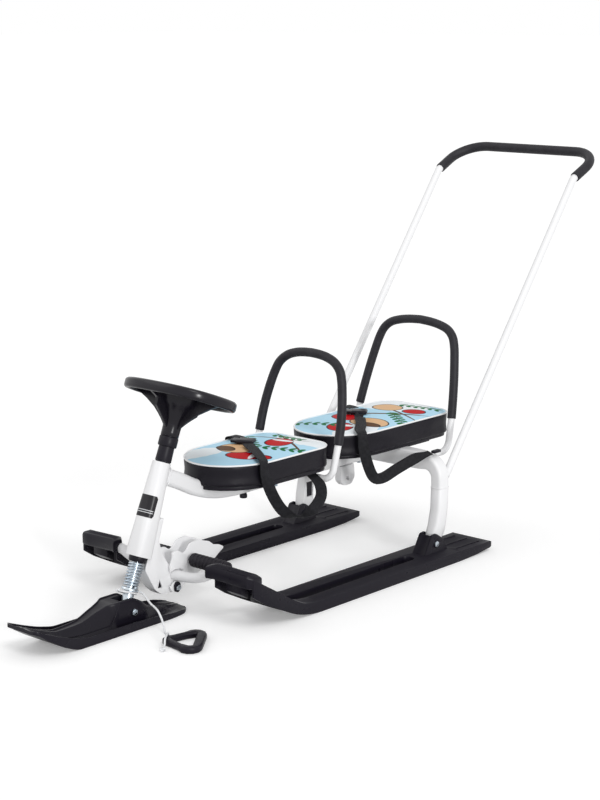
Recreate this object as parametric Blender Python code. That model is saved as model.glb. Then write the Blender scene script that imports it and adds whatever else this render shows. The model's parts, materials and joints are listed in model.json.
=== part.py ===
# Two-seat steerable snow sled with a push bar, modelled piece by piece.
import math

import bmesh
import bpy
from mathutils import Matrix, Vector

# Driving dimensions, in metres.
# Stations run forward along the sled. Station zero is 332.4 mm ahead of the origin,
# which is the middle of the sled's length at floor level. The front faces -Y.
DATUM = 0.3324
GAP = 0.0003              # clearance between pieces that touch

# Steering axis, from the front ski's bolt up to the steering wheel.
SKI_BOLT = (0.245, 0.030)     # station, height
RAKE = math.radians(21.8)     # the top leans rearward
HEAD_BOTTOM = 0.112           # places along the steering axis, from the bolt
HEAD_TOP = 0.312
COLUMN_TOP = 0.432
CAP_BOTTOM = 0.1000
COLLAR_TOP = 0.0455
WHEEL_BOTTOM = 0.4460
WHEEL_TOP = 0.4685
WHEEL_HALF_WIDTH = 0.124
WHEEL_HALF_DEPTH = 0.097

# Strut spring.
SPRING_TURNS = 6.5
SPRING_POINTS = 9             # points along each turn
SPRING_WIRE = 0.0021
SPRING_RADIUS = 0.0148

# Front ski's tip.
TIP_STATION = 0.522

# Side skis.
SKI_TRACK = 0.2004            # middle of each side ski from the middle of the sled
SKI_HALF_WIDTH = 0.0546
SKI_INNER = SKI_TRACK - SKI_HALF_WIDTH
SKI_OUTER = SKI_TRACK + SKI_HALF_WIDTH
SKI_TOP = 0.0243
SKI_FRONT = 0.141
SKI_REAR = -0.6845
SLOT_FRONT = -0.030
SLOT_REAR = -0.453
SKI_BOLT_REAR = (-0.519, 0.044)

# Frame.
ARCH_STATION = -0.550
ARCH_HEIGHT = 0.226
LEG_SIDE = 0.203
LEG_TOP = 0.170
BACKBONE_HEIGHT = 0.225
BACKBONE_END = -0.5321
TRAVERSE_RADIUS = 0.011
TRAVERSE_MID = (0.115, 0.0775)              # station, height
TRAVERSE_NECK = (0.123, 0.132, 0.1055)      # station, distance from the middle, height
TRAVERSE_END = (0.1245, 0.160, 0.1120)

# Push bar.
PUSHER_RADIUS = 0.009
PUSHER_FOOT = (-0.5752, 0.1907)
PUSHER_LOW = (-0.6198, 0.250)
PUSHER_HIGH = (-1.0607, 0.8363)
HANDLE = (-1.1753, 0.891)
HANDLE_SIDE = 0.207
HANDLE_BEND = 0.072
GRIP_RADIUS = 0.011

# Seats and backrest hoops.
SEAT_HALF_WIDTH = 0.106
HOOP_TUBE_RADIUS = 0.0078
HOOP_FOAM_RADIUS = 0.0103
FRONT_SEAT = {"front": 0.032, "rear": -0.300, "bottom": 0.2518, "top": 0.3000, "nose": 0.128}
REAR_SEAT = {"front": -0.322, "rear": -0.735, "bottom": 0.2552, "top": 0.3050, "nose": 0.128}
SEAT_BOLTS = (-0.113, -0.215, -0.505)

# Foot brake.
BRAKE_PIVOT = (0.117, 0.052)
PEDAL = (0.075, 0.104)
PLATE_INNER = 0.0185
PLATE_OUTER = 0.0225
BRAKE_SPRING_WIRE = 0.0008
BRAKE_SPRING_RADIUS = 0.0066

# Tow cord and its hand grip.
CORD_RADIUS = 0.0022
LOOP_RADIUS = 0.0020
HANDLE_RISE = 0.0072          # half the grip's thickness, lying on the floor


def at(station, left, height):
    """A point given by its station, its distance to the rider's left and its height."""
    return Vector((left, -station - DATUM, height))


def clear_scene():
    for thing in list(bpy.data.objects):
        bpy.data.objects.remove(thing, do_unlink=True)


def make_material(name, colour, roughness, metallic=0.0):
    material = bpy.data.materials.new(name)
    material.use_nodes = True
    shader = material.node_tree.nodes["Principled BSDF"]
    shader.inputs["Base Color"].default_value = (*colour, 1.0)
    shader.inputs["Roughness"].default_value = roughness
    shader.inputs["Metallic"].default_value = metallic
    return material


clear_scene()
WHITE_PAINT = make_material("white_paint", (0.86, 0.86, 0.87), 0.35)
BLACK_PLASTIC = make_material("black_plastic", (0.022, 0.020, 0.024), 0.38)
BLACK_FOAM = make_material("black_foam", (0.040, 0.037, 0.044), 0.75)
BLACK_VINYL = make_material("black_vinyl", (0.028, 0.026, 0.030), 0.5)
BLACK_WEBBING = make_material("black_webbing", (0.022, 0.022, 0.024), 0.8)
BLACK_RUBBER = make_material("black_rubber", (0.028, 0.025, 0.030), 0.6)
ZINC = make_material("zinc", (0.60, 0.68, 0.72), 0.3, 1.0)
STEEL = make_material("steel", (0.50, 0.52, 0.54), 0.35, 1.0)
WHITE_CORD = make_material("white_cord", (0.82, 0.84, 0.86), 0.8)


# Joint frames: an empty on each joint's axis, which its pieces hang from.

def make_frame(name, place, tilt=0.0, parent=None):
    empty = bpy.data.objects.new(name, None)
    bpy.context.scene.collection.objects.link(empty)
    empty.rotation_euler = (-tilt, 0.0, 0.0)
    empty.location = place
    if parent is not None:
        empty.parent = parent
    return empty


STEERING_AXIS = make_frame("steering_axis", at(SKI_BOLT[0], 0.0, SKI_BOLT[1]), RAKE)
STRUT_SLIDE = make_frame("strut_slide", (0.0, 0.0, 0.0), 0.0, STEERING_AXIS)
SKI_PITCH = make_frame("ski_pitch_axis", (0.0, 0.0, 0.0), 0.0, STRUT_SLIDE)
BRAKE_AXIS = make_frame("brake_axis", at(BRAKE_PIVOT[0], 0.0, BRAKE_PIVOT[1]))
STEERING_MATRIX = (Matrix.Translation(at(SKI_BOLT[0], 0.0, SKI_BOLT[1]))
                   @ Matrix.Rotation(-RAKE, 4, "X"))
BRAKE_MATRIX = Matrix.Translation(at(BRAKE_PIVOT[0], 0.0, BRAKE_PIVOT[1]))


# Shape helpers.

def add_object(name, bm, material, parent=None, sharp=32.0):
    """Turn a bmesh into an object with smooth faces between its sharp edges."""
    bmesh.ops.remove_doubles(bm, verts=bm.verts, dist=1e-6)
    bmesh.ops.recalc_face_normals(bm, faces=bm.faces)
    mesh = bpy.data.meshes.new(name)
    bm.to_mesh(mesh)
    bm.free()
    mesh.shade_smooth()
    mesh.set_sharp_from_angle(angle=math.radians(sharp))
    mesh.materials.append(material)
    obj = bpy.data.objects.new(name, mesh)
    bpy.context.scene.collection.objects.link(obj)
    if parent is not None:
        obj.parent = parent
    return obj


def combine(target, tool, operation):
    """Apply a Boolean of the tool to the target, and drop the tool."""
    bpy.context.view_layer.update()
    modifier = target.modifiers.new(operation.lower(), "BOOLEAN")
    modifier.operation = operation
    modifier.object = tool
    graph = bpy.context.evaluated_depsgraph_get()
    mesh = bpy.data.meshes.new_from_object(target.evaluated_get(graph))
    target.modifiers.clear()
    old = target.data
    target.data = mesh
    mesh.name = target.name
    bpy.data.meshes.remove(old)
    bpy.data.objects.remove(tool, do_unlink=True)
    bm = bmesh.new()
    bm.from_mesh(mesh)
    bmesh.ops.dissolve_degenerate(bm, dist=2e-6, edges=bm.edges)
    bm.to_mesh(mesh)
    bm.free()
    mesh.set_sharp_from_angle(angle=math.radians(32.0))
    return target


def loft(bm, rings, ring_of_rings=False):
    """Skin equal rings of points, with flat ends unless the last ring meets the first."""
    layers = [[bm.verts.new(point) for point in ring] for ring in rings]
    pairs = list(zip(layers, layers[1:]))
    if ring_of_rings:
        pairs.append((layers[-1], layers[0]))
    for near, far in pairs:
        for i in range(len(near)):
            j = (i + 1) % len(near)
            bm.faces.new((near[i], near[j], far[j], far[i]))
    if not ring_of_rings:
        bm.faces.new(list(reversed(layers[0])))
        bm.faces.new(layers[-1])


def circle(radius, sides, turn=0.0):
    step = 2.0 * math.pi / sides
    return [(radius * math.cos(turn + step * i), radius * math.sin(turn + step * i))
            for i in range(sides)]


def rounded_box(half_a, half_b, radius, steps=2):
    """The outline of a rectangle with round corners, steps + 1 points a corner."""
    points = []
    for corner, (sign_a, sign_b) in enumerate(((1, 1), (-1, 1), (-1, -1), (1, -1))):
        centre = (sign_a * (half_a - radius), sign_b * (half_b - radius))
        for i in range(steps + 1):
            angle = math.pi / 2.0 * (corner + i / steps)
            points.append((centre[0] + radius * math.cos(angle),
                           centre[1] + radius * math.sin(angle)))
    return points


def fillet(points, radii, steps=5, closed=False):
    """A path with round corners. radii holds one radius for each point, 0 for a sharp one."""
    count = len(points)
    result = []
    for i, point in enumerate(points):
        inner = closed or 0 < i < count - 1
        radius = radii[i] if inner else 0.0
        if radius <= 0.0:
            result.append(Vector(point))
            continue
        here = Vector(point)
        back = (Vector(points[i - 1]) - here).normalized()
        ahead = (Vector(points[(i + 1) % count]) - here).normalized()
        half = back.angle(ahead) / 2.0
        reach = radius / math.tan(half)
        centre = here + (back + ahead).normalized() * (radius / math.sin(half))
        start = here + back * reach - centre
        end = here + ahead * reach - centre
        turn = start.angle(end)
        for k in range(steps + 1):
            share = k / steps
            spoke = (start * math.sin((1.0 - share) * turn)
                     + end * math.sin(share * turn)) / math.sin(turn)
            result.append(centre + spoke)
    return result


def smooth_path(points, spacing):
    """A Catmull-Rom curve through the points, sampled about every spacing."""
    points = [Vector(point) for point in points]
    padded = [2 * points[0] - points[1]] + points + [2 * points[-1] - points[-2]]
    result = [points[0]]
    for i in range(1, len(padded) - 2):
        a, b, c, d = padded[i - 1:i + 3]
        steps = max(1, round((c - b).length / spacing))
        for k in range(1, steps + 1):
            t = k / steps
            result.append(0.5 * (2 * b + (c - a) * t
                                 + (2 * a - 5 * b + 4 * c - d) * t * t
                                 + (3 * b - a - 3 * c + d) * t ** 3))
    return result


def path_frames(path, side):
    """Place and two cross directions at each point of a path; side is a steady hint."""
    frames = []
    for i, point in enumerate(path):
        before = path[max(i - 1, 0)]
        after = path[min(i + 1, len(path) - 1)]
        tangent = (after - before).normalized()
        across = (side - tangent * side.dot(tangent)).normalized()
        frames.append((point, across, tangent.cross(across)))
    return frames


def ring_on(frame, outline):
    place, across, up = frame
    return [place + across * a + up * b for a, b in outline]


def tube(name, path, radius, material, sides=12, parent=None, closed=False):
    """A round bar or cord along a path, as a curve with filled caps."""
    curve = bpy.data.curves.new(name, "CURVE")
    curve.dimensions = "3D"
    spline = curve.splines.new("POLY")
    spline.points.add(len(path) - 1)
    for spot, point in zip(spline.points, path):
        spot.co = (*point, 1.0)
    spline.use_cyclic_u = closed
    spline.use_smooth = True
    curve.bevel_depth = radius
    curve.bevel_resolution = sides // 2 - 2
    curve.use_fill_caps = not closed
    curve.materials.append(material)
    obj = bpy.data.objects.new(name, curve)
    bpy.context.scene.collection.objects.link(obj)
    if parent is not None:
        obj.parent = parent
    return obj


def sleeve(name, path, outer, inner, side, material, sides=12):
    """A round sleeve with an open bore along a path."""
    bm = bmesh.new()
    frames = path_frames(path, side)
    outside = [ring_on(frame, circle(outer, sides)) for frame in frames]
    inside = [ring_on(frame, circle(inner, sides)) for frame in reversed(frames)]
    loft(bm, outside + inside, ring_of_rings=True)
    return add_object(name, bm, material)


def turned(name, profile, material, matrix, parent=None, sides=16, hollow=False):
    """A turned piece: (radius, place along Z) points, closed on themselves if hollow."""
    bm = bmesh.new()
    rings = [[matrix @ Vector((x, y, height)) for x, y in circle(radius, sides)]
             for radius, height in profile]
    loft(bm, rings, ring_of_rings=hollow)
    return add_object(name, bm, material, parent)


def rod(start, end, radius, sides=12):
    """A bmesh rod between two points, for cutters and pins."""
    bm = bmesh.new()
    axis = (end - start).normalized()
    hint = Vector((0.0, 0.0, 1.0)) if abs(axis.z) < 0.9 else Vector((1.0, 0.0, 0.0))
    frames = path_frames([start, end], hint)
    loft(bm, [ring_on(frame, circle(radius, sides, math.pi / sides)) for frame in frames])
    return bm


def drill(target, start, end, radius, sides=12):
    cutter = add_object(target.name + "_drill", rod(start, end, radius, sides), ZINC)
    return combine(target, cutter, "DIFFERENCE")


def plate(outline, left_low, left_high):
    """A bmesh plate across the sled from an outline of (station, height) points."""
    bm = bmesh.new()
    face = bm.faces.new([bm.verts.new(at(s, left_low, h)) for s, h in outline])
    grown = bmesh.ops.extrude_face_region(bm, geom=[face])
    moved = [item for item in grown["geom"] if isinstance(item, bmesh.types.BMVert)]
    bmesh.ops.translate(bm, verts=moved, vec=Vector((left_high - left_low, 0.0, 0.0)))
    return bm


def block(low, high, bevel=0.0):
    """A bmesh box between two corners, with its edges rounded off if bevel is given."""
    bm = bmesh.new()
    bmesh.ops.create_cube(bm, size=1.0)
    size = Vector([abs(b - a) for a, b in zip(low, high)])
    centre = (Vector(low) + Vector(high)) / 2.0
    bmesh.ops.scale(bm, vec=size, verts=bm.verts)
    bmesh.ops.translate(bm, vec=centre, verts=bm.verts)
    if bevel > 0.0:
        bmesh.ops.bevel(bm, geom=bm.edges[:], offset=bevel, segments=1, affect="EDGES",
                        clamp_overlap=True)
    return bm


def slope_at(points, i):
    """The slope of a smooth line through its point i, level at the ends and at turns."""
    if i == 0 or i == len(points) - 1:
        return 0.0
    behind = (points[i][1] - points[i - 1][1]) / (points[i][0] - points[i - 1][0])
    ahead = (points[i + 1][1] - points[i][1]) / (points[i + 1][0] - points[i][0])
    if behind * ahead <= 0.0:
        return 0.0
    return 2.0 * behind * ahead / (behind + ahead)


def blend(points, place):
    """A smooth value between (place, value) points that never passes beyond them."""
    if place <= points[0][0]:
        return points[0][1]
    for i in range(len(points) - 1):
        low, high = points[i], points[i + 1]
        if place <= high[0]:
            span = high[0] - low[0]
            slope_low = slope_at(points, i) * span
            slope_high = slope_at(points, i + 1) * span
            t = (place - low[0]) / span
            return ((2 * t ** 3 - 3 * t ** 2 + 1) * low[1] + (t ** 3 - 2 * t ** 2 + t) * slope_low
                    + (3 * t ** 2 - 2 * t ** 3) * high[1] + (t ** 3 - t ** 2) * slope_high)
    return points[-1][1]


def bolt_across(name, station, height, left_low, left_high, shank, head):
    """A bolt across the sled with a hexagon head at one end and a nut at the other."""
    thick = 0.0045
    profile = [(head, left_low - thick), (head, left_low), (shank, left_low),
               (shank, left_high), (head, left_high), (head, left_high + thick)]
    sides = 12
    rings = []
    for size, left in profile:
        ring = []
        for i in range(sides):
            angle = 2.0 * math.pi * i / sides
            flat = (angle + math.pi / 6.0) % (math.pi / 3.0) - math.pi / 6.0
            reach = 0.87 * size if size == shank else 0.87 * size / math.cos(flat)
            ring.append(at(station + reach * math.cos(angle), left,
                           height + reach * math.sin(angle)))
        rings.append(ring)
    bm = bmesh.new()
    loft(bm, rings)
    return add_object(name, bm, STEEL)


# Frame of white powder-coated steel.

def head_tube_rings(grow=0.0):
    """Cross sections of the head tube along the steering axis, wider at its foot."""
    stations = ((HEAD_BOTTOM, 0.0235, 0.0225, 0.011), (0.150, 0.0230, 0.0220, 0.012),
                (0.200, 0.0215, 0.0210, 0.014), (0.260, 0.0200, 0.0200, 0.017),
                (HEAD_TOP, 0.0192, 0.0192, 0.0188))
    rings = []
    for place, half_a, half_b, radius in stations:
        outline = rounded_box(half_a + grow, half_b + grow, radius, 4)
        shift = -0.003 * (place - HEAD_BOTTOM) / 0.2
        if grow > 0.0:
            place += math.copysign(grow, place - 0.2)
        rings.append([STEERING_MATRIX @ Vector((a, b + shift, place)) for a, b in outline])
    return rings


def head_tube():
    bm = bmesh.new()
    loft(bm, head_tube_rings())
    tube_body = add_object("head_tube", bm, WHITE_PAINT)
    drill(tube_body, STEERING_MATRIX @ Vector((0, 0, HEAD_BOTTOM - 0.01)),
          STEERING_MATRIX @ Vector((0, 0, HEAD_TOP + 0.01)), 0.0160, 16)
    return tube_body


def carve_head_tube(target):
    """Cope a frame piece to the outside of the head tube, with the usual clearance."""
    bm = bmesh.new()
    loft(bm, head_tube_rings(GAP * 1.3))
    combine(target, add_object("head_cutter", bm, ZINC), "DIFFERENCE")
    return target


def backbone_body(grow=0.0):
    """The bent flat-oval tube from the head tube back to the rear arch."""
    centre = [at(0.150, 0, 0.3005), at(0.085, 0, 0.2725), at(0.037, 0, 0.2490),
              at(-0.018, 0, 0.2320), at(-0.075, 0, 0.2255), at(-0.140, 0, BACKBONE_HEIGHT)]
    path = smooth_path(centre, 0.030) + [at(BACKBONE_END, 0, BACKBONE_HEIGHT)]
    bm = bmesh.new()
    outline = rounded_box(0.012 + grow, 0.018 + grow, 0.0095, 2)
    loft(bm, [ring_on(frame, outline) for frame in path_frames(path, Vector((1, 0, 0)))])
    return bm


def backbone():
    beam = add_object("backbone", backbone_body(), WHITE_PAINT)
    carve_head_tube(beam)
    for station in SEAT_BOLTS:
        drill(beam, at(station, 0, 0.19), at(station, 0, 0.26), 0.0034, 8)
    return beam


def front_bracket():
    """The gusset below the head tube that carries the traverse and the brake."""
    outline = [(0.195, 0.160), (0.197, 0.103), (0.172, 0.058), (0.152, 0.042), (0.112, 0.041),
               (0.099, 0.050), (0.099, 0.086), (0.118, 0.095), (0.132, 0.104), (0.150, 0.132),
               (0.157, 0.160), (0.142, 0.205), (0.165, 0.205)]
    rounded = fillet([(s, h, 0.0) for s, h in outline],
                     [0, 0.012, 0.020, 0.012, 0.008, 0.008, 0.006, 0.008, 0.010, 0.010, 0.010, 0, 0],
                     2, closed=True)
    bracket = add_object("front_bracket", plate([(p.x, p.y) for p in rounded], -0.0145, 0.0145),
                         WHITE_PAINT)
    channel = block(at(0.146, -0.0115, 0.030), at(0.095, 0.0115, 0.066))
    combine(bracket, add_object("channel_cutter", channel, ZINC), "DIFFERENCE")
    carve_head_tube(bracket)
    drill(bracket, STEERING_MATRIX @ Vector((0, 0, 0.050)),
          STEERING_MATRIX @ Vector((0, 0, HEAD_BOTTOM + 0.002)), 0.0204, 20)
    window = plate([(0.149, 0.056), (0.163, 0.058), (0.158, 0.076)], -0.02, 0.02)
    combine(bracket, add_object("window_cutter", window, ZINC), "DIFFERENCE")
    drill(bracket, at(TRAVERSE_MID[0], -0.03, TRAVERSE_MID[1]),
          at(TRAVERSE_MID[0], 0.03, TRAVERSE_MID[1]), TRAVERSE_RADIUS + 0.0007, 12)
    drill(bracket, at(BRAKE_PIVOT[0], -0.03, BRAKE_PIVOT[1]),
          at(BRAKE_PIVOT[0], 0.03, BRAKE_PIVOT[1]), 0.0046, 8)
    return bracket


def front_traverse():
    """The bowed tube across the sled whose ends carry the side skis' front bars."""
    half = [at(TRAVERSE_MID[0], 0.0, TRAVERSE_MID[1]), at(TRAVERSE_MID[0], 0.030, TRAVERSE_MID[1]),
            at(0.116, 0.070, 0.0815), at(0.119, 0.105, 0.092), at(*TRAVERSE_NECK),
            at(*TRAVERSE_END)]
    left = smooth_path(half[:-1], 0.026) + half[-1:]
    right = [Vector((-p.x, p.y, p.z)) for p in reversed(left[1:])]
    return tube("front_traverse", right + left, TRAVERSE_RADIUS, WHITE_PAINT, 12)


def pusher_path(side):
    """One leg of the push bar, from the rear corner of the arch up to the handle's corner."""
    low_side, high_side = SKI_TRACK, 0.2035
    return [at(PUSHER_FOOT[0], side * low_side, PUSHER_FOOT[1]),
            at(PUSHER_LOW[0], side * low_side, PUSHER_LOW[1]),
            at(PUSHER_HIGH[0], side * high_side, PUSHER_HIGH[1])]


def push_bar():
    """One white tube with a foam grip over its handle and the bends on both sides."""
    left = pusher_path(1)
    corner = at(HANDLE[0], HANDLE_SIDE, HANDLE[1])
    route = [left[1].lerp(left[2], 0.965), left[2], corner]
    route += [Vector((-p.x, p.y, p.z)) for p in reversed(route)]
    bend = 0.022
    top = fillet(route, [0, bend, HANDLE_BEND, HANDLE_BEND, bend, 0], 4)
    right = [Vector((-p.x, p.y, p.z)) for p in reversed(left[:2])]
    tube("pusher_tube", left[:2] + top + right, PUSHER_RADIUS, WHITE_PAINT, 12)
    covered = [left[2].lerp(corner, 0.05)] + top[6:-6] + [route[-2].lerp(route[-3], 0.05)]
    sleeve("handle_foam", covered, GRIP_RADIUS + 0.0008, PUSHER_RADIUS + 0.0008,
           Vector((0.0, -0.75, 0.66)), BLACK_FOAM, 12)


def rear_arch():
    """The arch across the sled over the rear legs, deeper in its middle than at its feet."""
    corner = 0.036
    route = fillet([at(ARCH_STATION - 0.0005, LEG_SIDE, LEG_TOP + GAP),
                    at(ARCH_STATION, LEG_SIDE, ARCH_HEIGHT),
                    at(ARCH_STATION, 0.0, ARCH_HEIGHT)], [0, corner, 0], 5)
    route.insert(-1, at(ARCH_STATION, 0.120, ARCH_HEIGHT))
    route = route + [Vector((-p.x, p.y, p.z)) for p in reversed(route[:-1])]
    bm = bmesh.new()
    rings = []
    for frame in path_frames(route, Vector((0.0, 1.0, 0.0))):
        share = min(1.0, max(0.0, (LEG_SIDE - abs(frame[0].x)) / 0.06))
        half = 0.0150 + 0.0060 * share
        rings.append(ring_on(frame, rounded_box(0.0175, half, 0.0070, 2)))
    loft(bm, rings)
    arch = add_object("rear_arch", bm, WHITE_PAINT)
    for side in (1, -1):
        low, high = pusher_path(side)[:2]
        reach = (high - low).normalized()
        drill(arch, low - reach * 0.0006, high, PUSHER_RADIUS + 0.0007, 12)
    return arch


def rear_leg(name, side):
    """A leg that narrows into the ski's clevis, with a window in its inner face."""
    bm = bmesh.new()
    sections = ((0.0365, -0.5270, 0.0070, 0.0130, 0.2000), (0.0400, -0.5285, 0.0145, 0.0130, 0.2000),
                (0.0660, -0.5390, 0.0225, 0.0130, 0.2000), (0.0840, -0.5420, 0.0190, 0.0148, 0.2025),
                (0.1200, -0.5485, 0.0176, 0.0150, LEG_SIDE), (LEG_TOP, -0.5505, 0.0175, 0.0150,
                                                              LEG_SIDE))
    rings = []
    for height, station, half_long, half_wide, middle in sections:
        outline = rounded_box(half_long, half_wide, 0.0065, 2)
        rings.append([at(station + a, side * (middle + b), height) for a, b in outline])
    loft(bm, rings)
    leg = add_object(name, bm, WHITE_PAINT)
    inner, deep = side * 0.180, side * 0.2070
    window = block(at(-0.5560, inner, 0.080), at(-0.5340, deep, 0.1170))
    combine(leg, add_object("window_cutter", window, ZINC), "DIFFERENCE")
    drill(leg, at(SKI_BOLT_REAR[0], side * 0.17, SKI_BOLT_REAR[1]),
          at(SKI_BOLT_REAR[0], side * 0.23, SKI_BOLT_REAR[1]), 0.0048, 8)
    return leg


def leg_liner(name, side):
    """The black plastic insert that closes the leg's window."""
    insert = block(at(-0.5557, side * 0.1905, 0.0803), at(-0.5343, side * 0.2067, 0.1167), 0.0008)
    return add_object(name, insert, BLACK_PLASTIC)


def rear_lug():
    outline = fillet([(-0.432, 0.2065, 0), (-0.430, 0.172, 0), (-0.444, 0.160, 0),
                      (-0.468, 0.160, 0), (-0.480, 0.176, 0), (-0.477, 0.2065, 0)],
                     [0, 0.012, 0.012, 0.012, 0.012, 0], 3, closed=True)
    lug = add_object("rear_lug", plate([(p.x, p.y) for p in outline], -0.009, 0.009), WHITE_PAINT)
    drill(lug, at(-0.4545, -0.02, 0.176), at(-0.4545, 0.02, 0.176), 0.0046, 12)
    return lug


# Side skis, each one black moulding.

def ski_outline(side, base, top, roof):
    """A cross section: a flat deck over two channels that are open below."""
    width = SKI_OUTER - SKI_INNER
    wall = 0.0045
    slot_in, slot_out = 0.037, 0.070
    flat = [(width, top), (0.0, top), (0.0, base), (wall, base), (wall, roof),
            (slot_in - wall, roof), (slot_in - wall, base), (slot_out + wall, base),
            (slot_out + wall, roof), (width - wall, roof), (width - wall, base), (width, base)]
    return [(side * (SKI_INNER + a), b) for a, b in flat]


def side_ski(name, side):
    """Ramped front, slotted middle, closed ribbed tail, a foot rest bar and a clevis."""
    bm = bmesh.new()
    ramp = ((0.128, 0.080, 0.1170), (0.100, 0.0615, 0.1020), (0.050, 0.0365, 0.0725),
            (-0.005, 0.0105, 0.0385), (-0.030, 0.0, SKI_TOP))
    deck = 0.0045
    tail = ((-0.560, 0.0, SKI_TOP), (-0.630, 0.0045, SKI_TOP - 0.0008),
            (SKI_REAR + 0.006, 0.0130, SKI_TOP - 0.002), (SKI_REAR, 0.0165, 0.0200))
    rows = [(s, base, top, top - deck) for s, base, top in ramp]
    rows += [(SLOT_REAR + 0.004, 0.0, SKI_TOP, SKI_TOP - deck),
             (SLOT_REAR - 0.001, 0.0, SKI_TOP, 0.002)]
    rows += [(s, base, top, base + 0.002) for s, base, top in tail]
    layers = []
    for station, base, top, roof in rows:
        squeeze = 0.985 if station == SKI_REAR else 1.0
        outline = ski_outline(side, base, top, roof)
        middle = side * SKI_TRACK
        layers.append([at(station, middle + (a - middle) * squeeze, b) for a, b in outline])
    loft(bm, layers)
    ski = add_object(name, bm, BLACK_PLASTIC)
    cut_ski_slots(ski, side)
    add_ski_bar(ski, side)
    add_ski_clevis(ski, side)
    return ski


def cut_ski_slots(ski, side):
    """The long slot between the rails, and the window behind the foot rest bar."""
    inner, outer = SKI_INNER + 0.037, SKI_INNER + 0.070
    corner = 0.014
    slot = fillet([(SLOT_FRONT, inner, 0), (SLOT_FRONT, outer, 0), (SLOT_REAR, outer, 0),
                   (SLOT_REAR, inner, 0)], [corner] * 4, 3, closed=True)
    window = fillet([(0.111, inner - 0.020, 0), (0.106, outer + 0.022, 0), (0.075, outer + 0.018, 0),
                     (0.052, inner - 0.016, 0)], [0.006] * 4, 2, closed=True)
    for outline, low, high in ((slot, -0.02, 0.06), (window, 0.02, 0.16)):
        bm = bmesh.new()
        rings = [[at(p.x, side * p.y, height) for p in outline] for height in (low, high)]
        loft(bm, rings)
        combine(ski, add_object("slot_cutter", bm, ZINC), "DIFFERENCE")


def add_ski_bar(ski, side):
    """The foot rest bar across the ski's raised front, bored for the traverse's end."""
    bm = bmesh.new()
    rows = ((0.1372, 0.1345, 0.1140, 0.013, 0.0135), (0.150, 0.1260, 0.1145, 0.0150, 0.0150),
            (0.225, 0.1260, 0.1125, 0.0150, 0.0150), (0.245, 0.1235, 0.1115, 0.0150, 0.0148),
            (0.2545, 0.1150, 0.1080, 0.0120, 0.0120))
    rings = []
    for left, station, height, half_long, half_tall in rows:
        outline = rounded_box(half_long, half_tall, 0.006, 2)
        rings.append([at(station + a, side * left, height + b) for a, b in outline])
    loft(bm, rings)
    combine(ski, add_object("bar_body", bm, BLACK_PLASTIC), "UNION")
    neck = at(TRAVERSE_NECK[0], side * TRAVERSE_NECK[1], TRAVERSE_NECK[2])
    end = at(TRAVERSE_END[0], side * TRAVERSE_END[1], TRAVERSE_END[2])
    reach = (end - neck).normalized()
    drill(ski, neck, end + reach * 0.0008, TRAVERSE_RADIUS + 0.0008, 12)


def add_ski_clevis(ski, side):
    """Two ears and a front web that hold the leg's foot, and ribs on the tail."""
    ear = fillet([(-0.478, 0.0220, 0), (-0.504, 0.0660, 0), (-0.520, 0.0680, 0), (-0.548, 0.0500, 0),
                  (-0.562, 0.0220, 0)], [0, 0.006, 0.010, 0.012, 0], 2, closed=True)
    for low, high in ((0.1815, 0.1866), (0.2134, 0.2185)):
        bm = plate([(p.x, p.y) for p in ear], side * low, side * high)
        combine(ski, add_object("ear_body", bm, BLACK_PLASTIC), "UNION")
    web = [(-0.4785, 0.0215), (-0.5035, 0.0640), (-0.5085, 0.0640), (-0.4865, 0.0215)]
    combine(ski, add_object("web_body", plate(web, side * 0.1820, side * 0.2180), BLACK_PLASTIC),
            "UNION")
    drill(ski, at(SKI_BOLT_REAR[0], side * 0.178, SKI_BOLT_REAR[1]),
          at(SKI_BOLT_REAR[0], side * 0.222, SKI_BOLT_REAR[1]), 0.0048, 8)
    for left in (SKI_INNER + 0.020, SKI_TRACK, SKI_OUTER - 0.020):
        rib = block(at(-0.576, side * (left - 0.0015), 0.0200), at(-0.660, side * (left + 0.0015),
                                                                  SKI_TOP + 0.0012))
        combine(ski, add_object("rib_body", rib, BLACK_PLASTIC), "UNION")


# Front ski and its strut.

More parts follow.
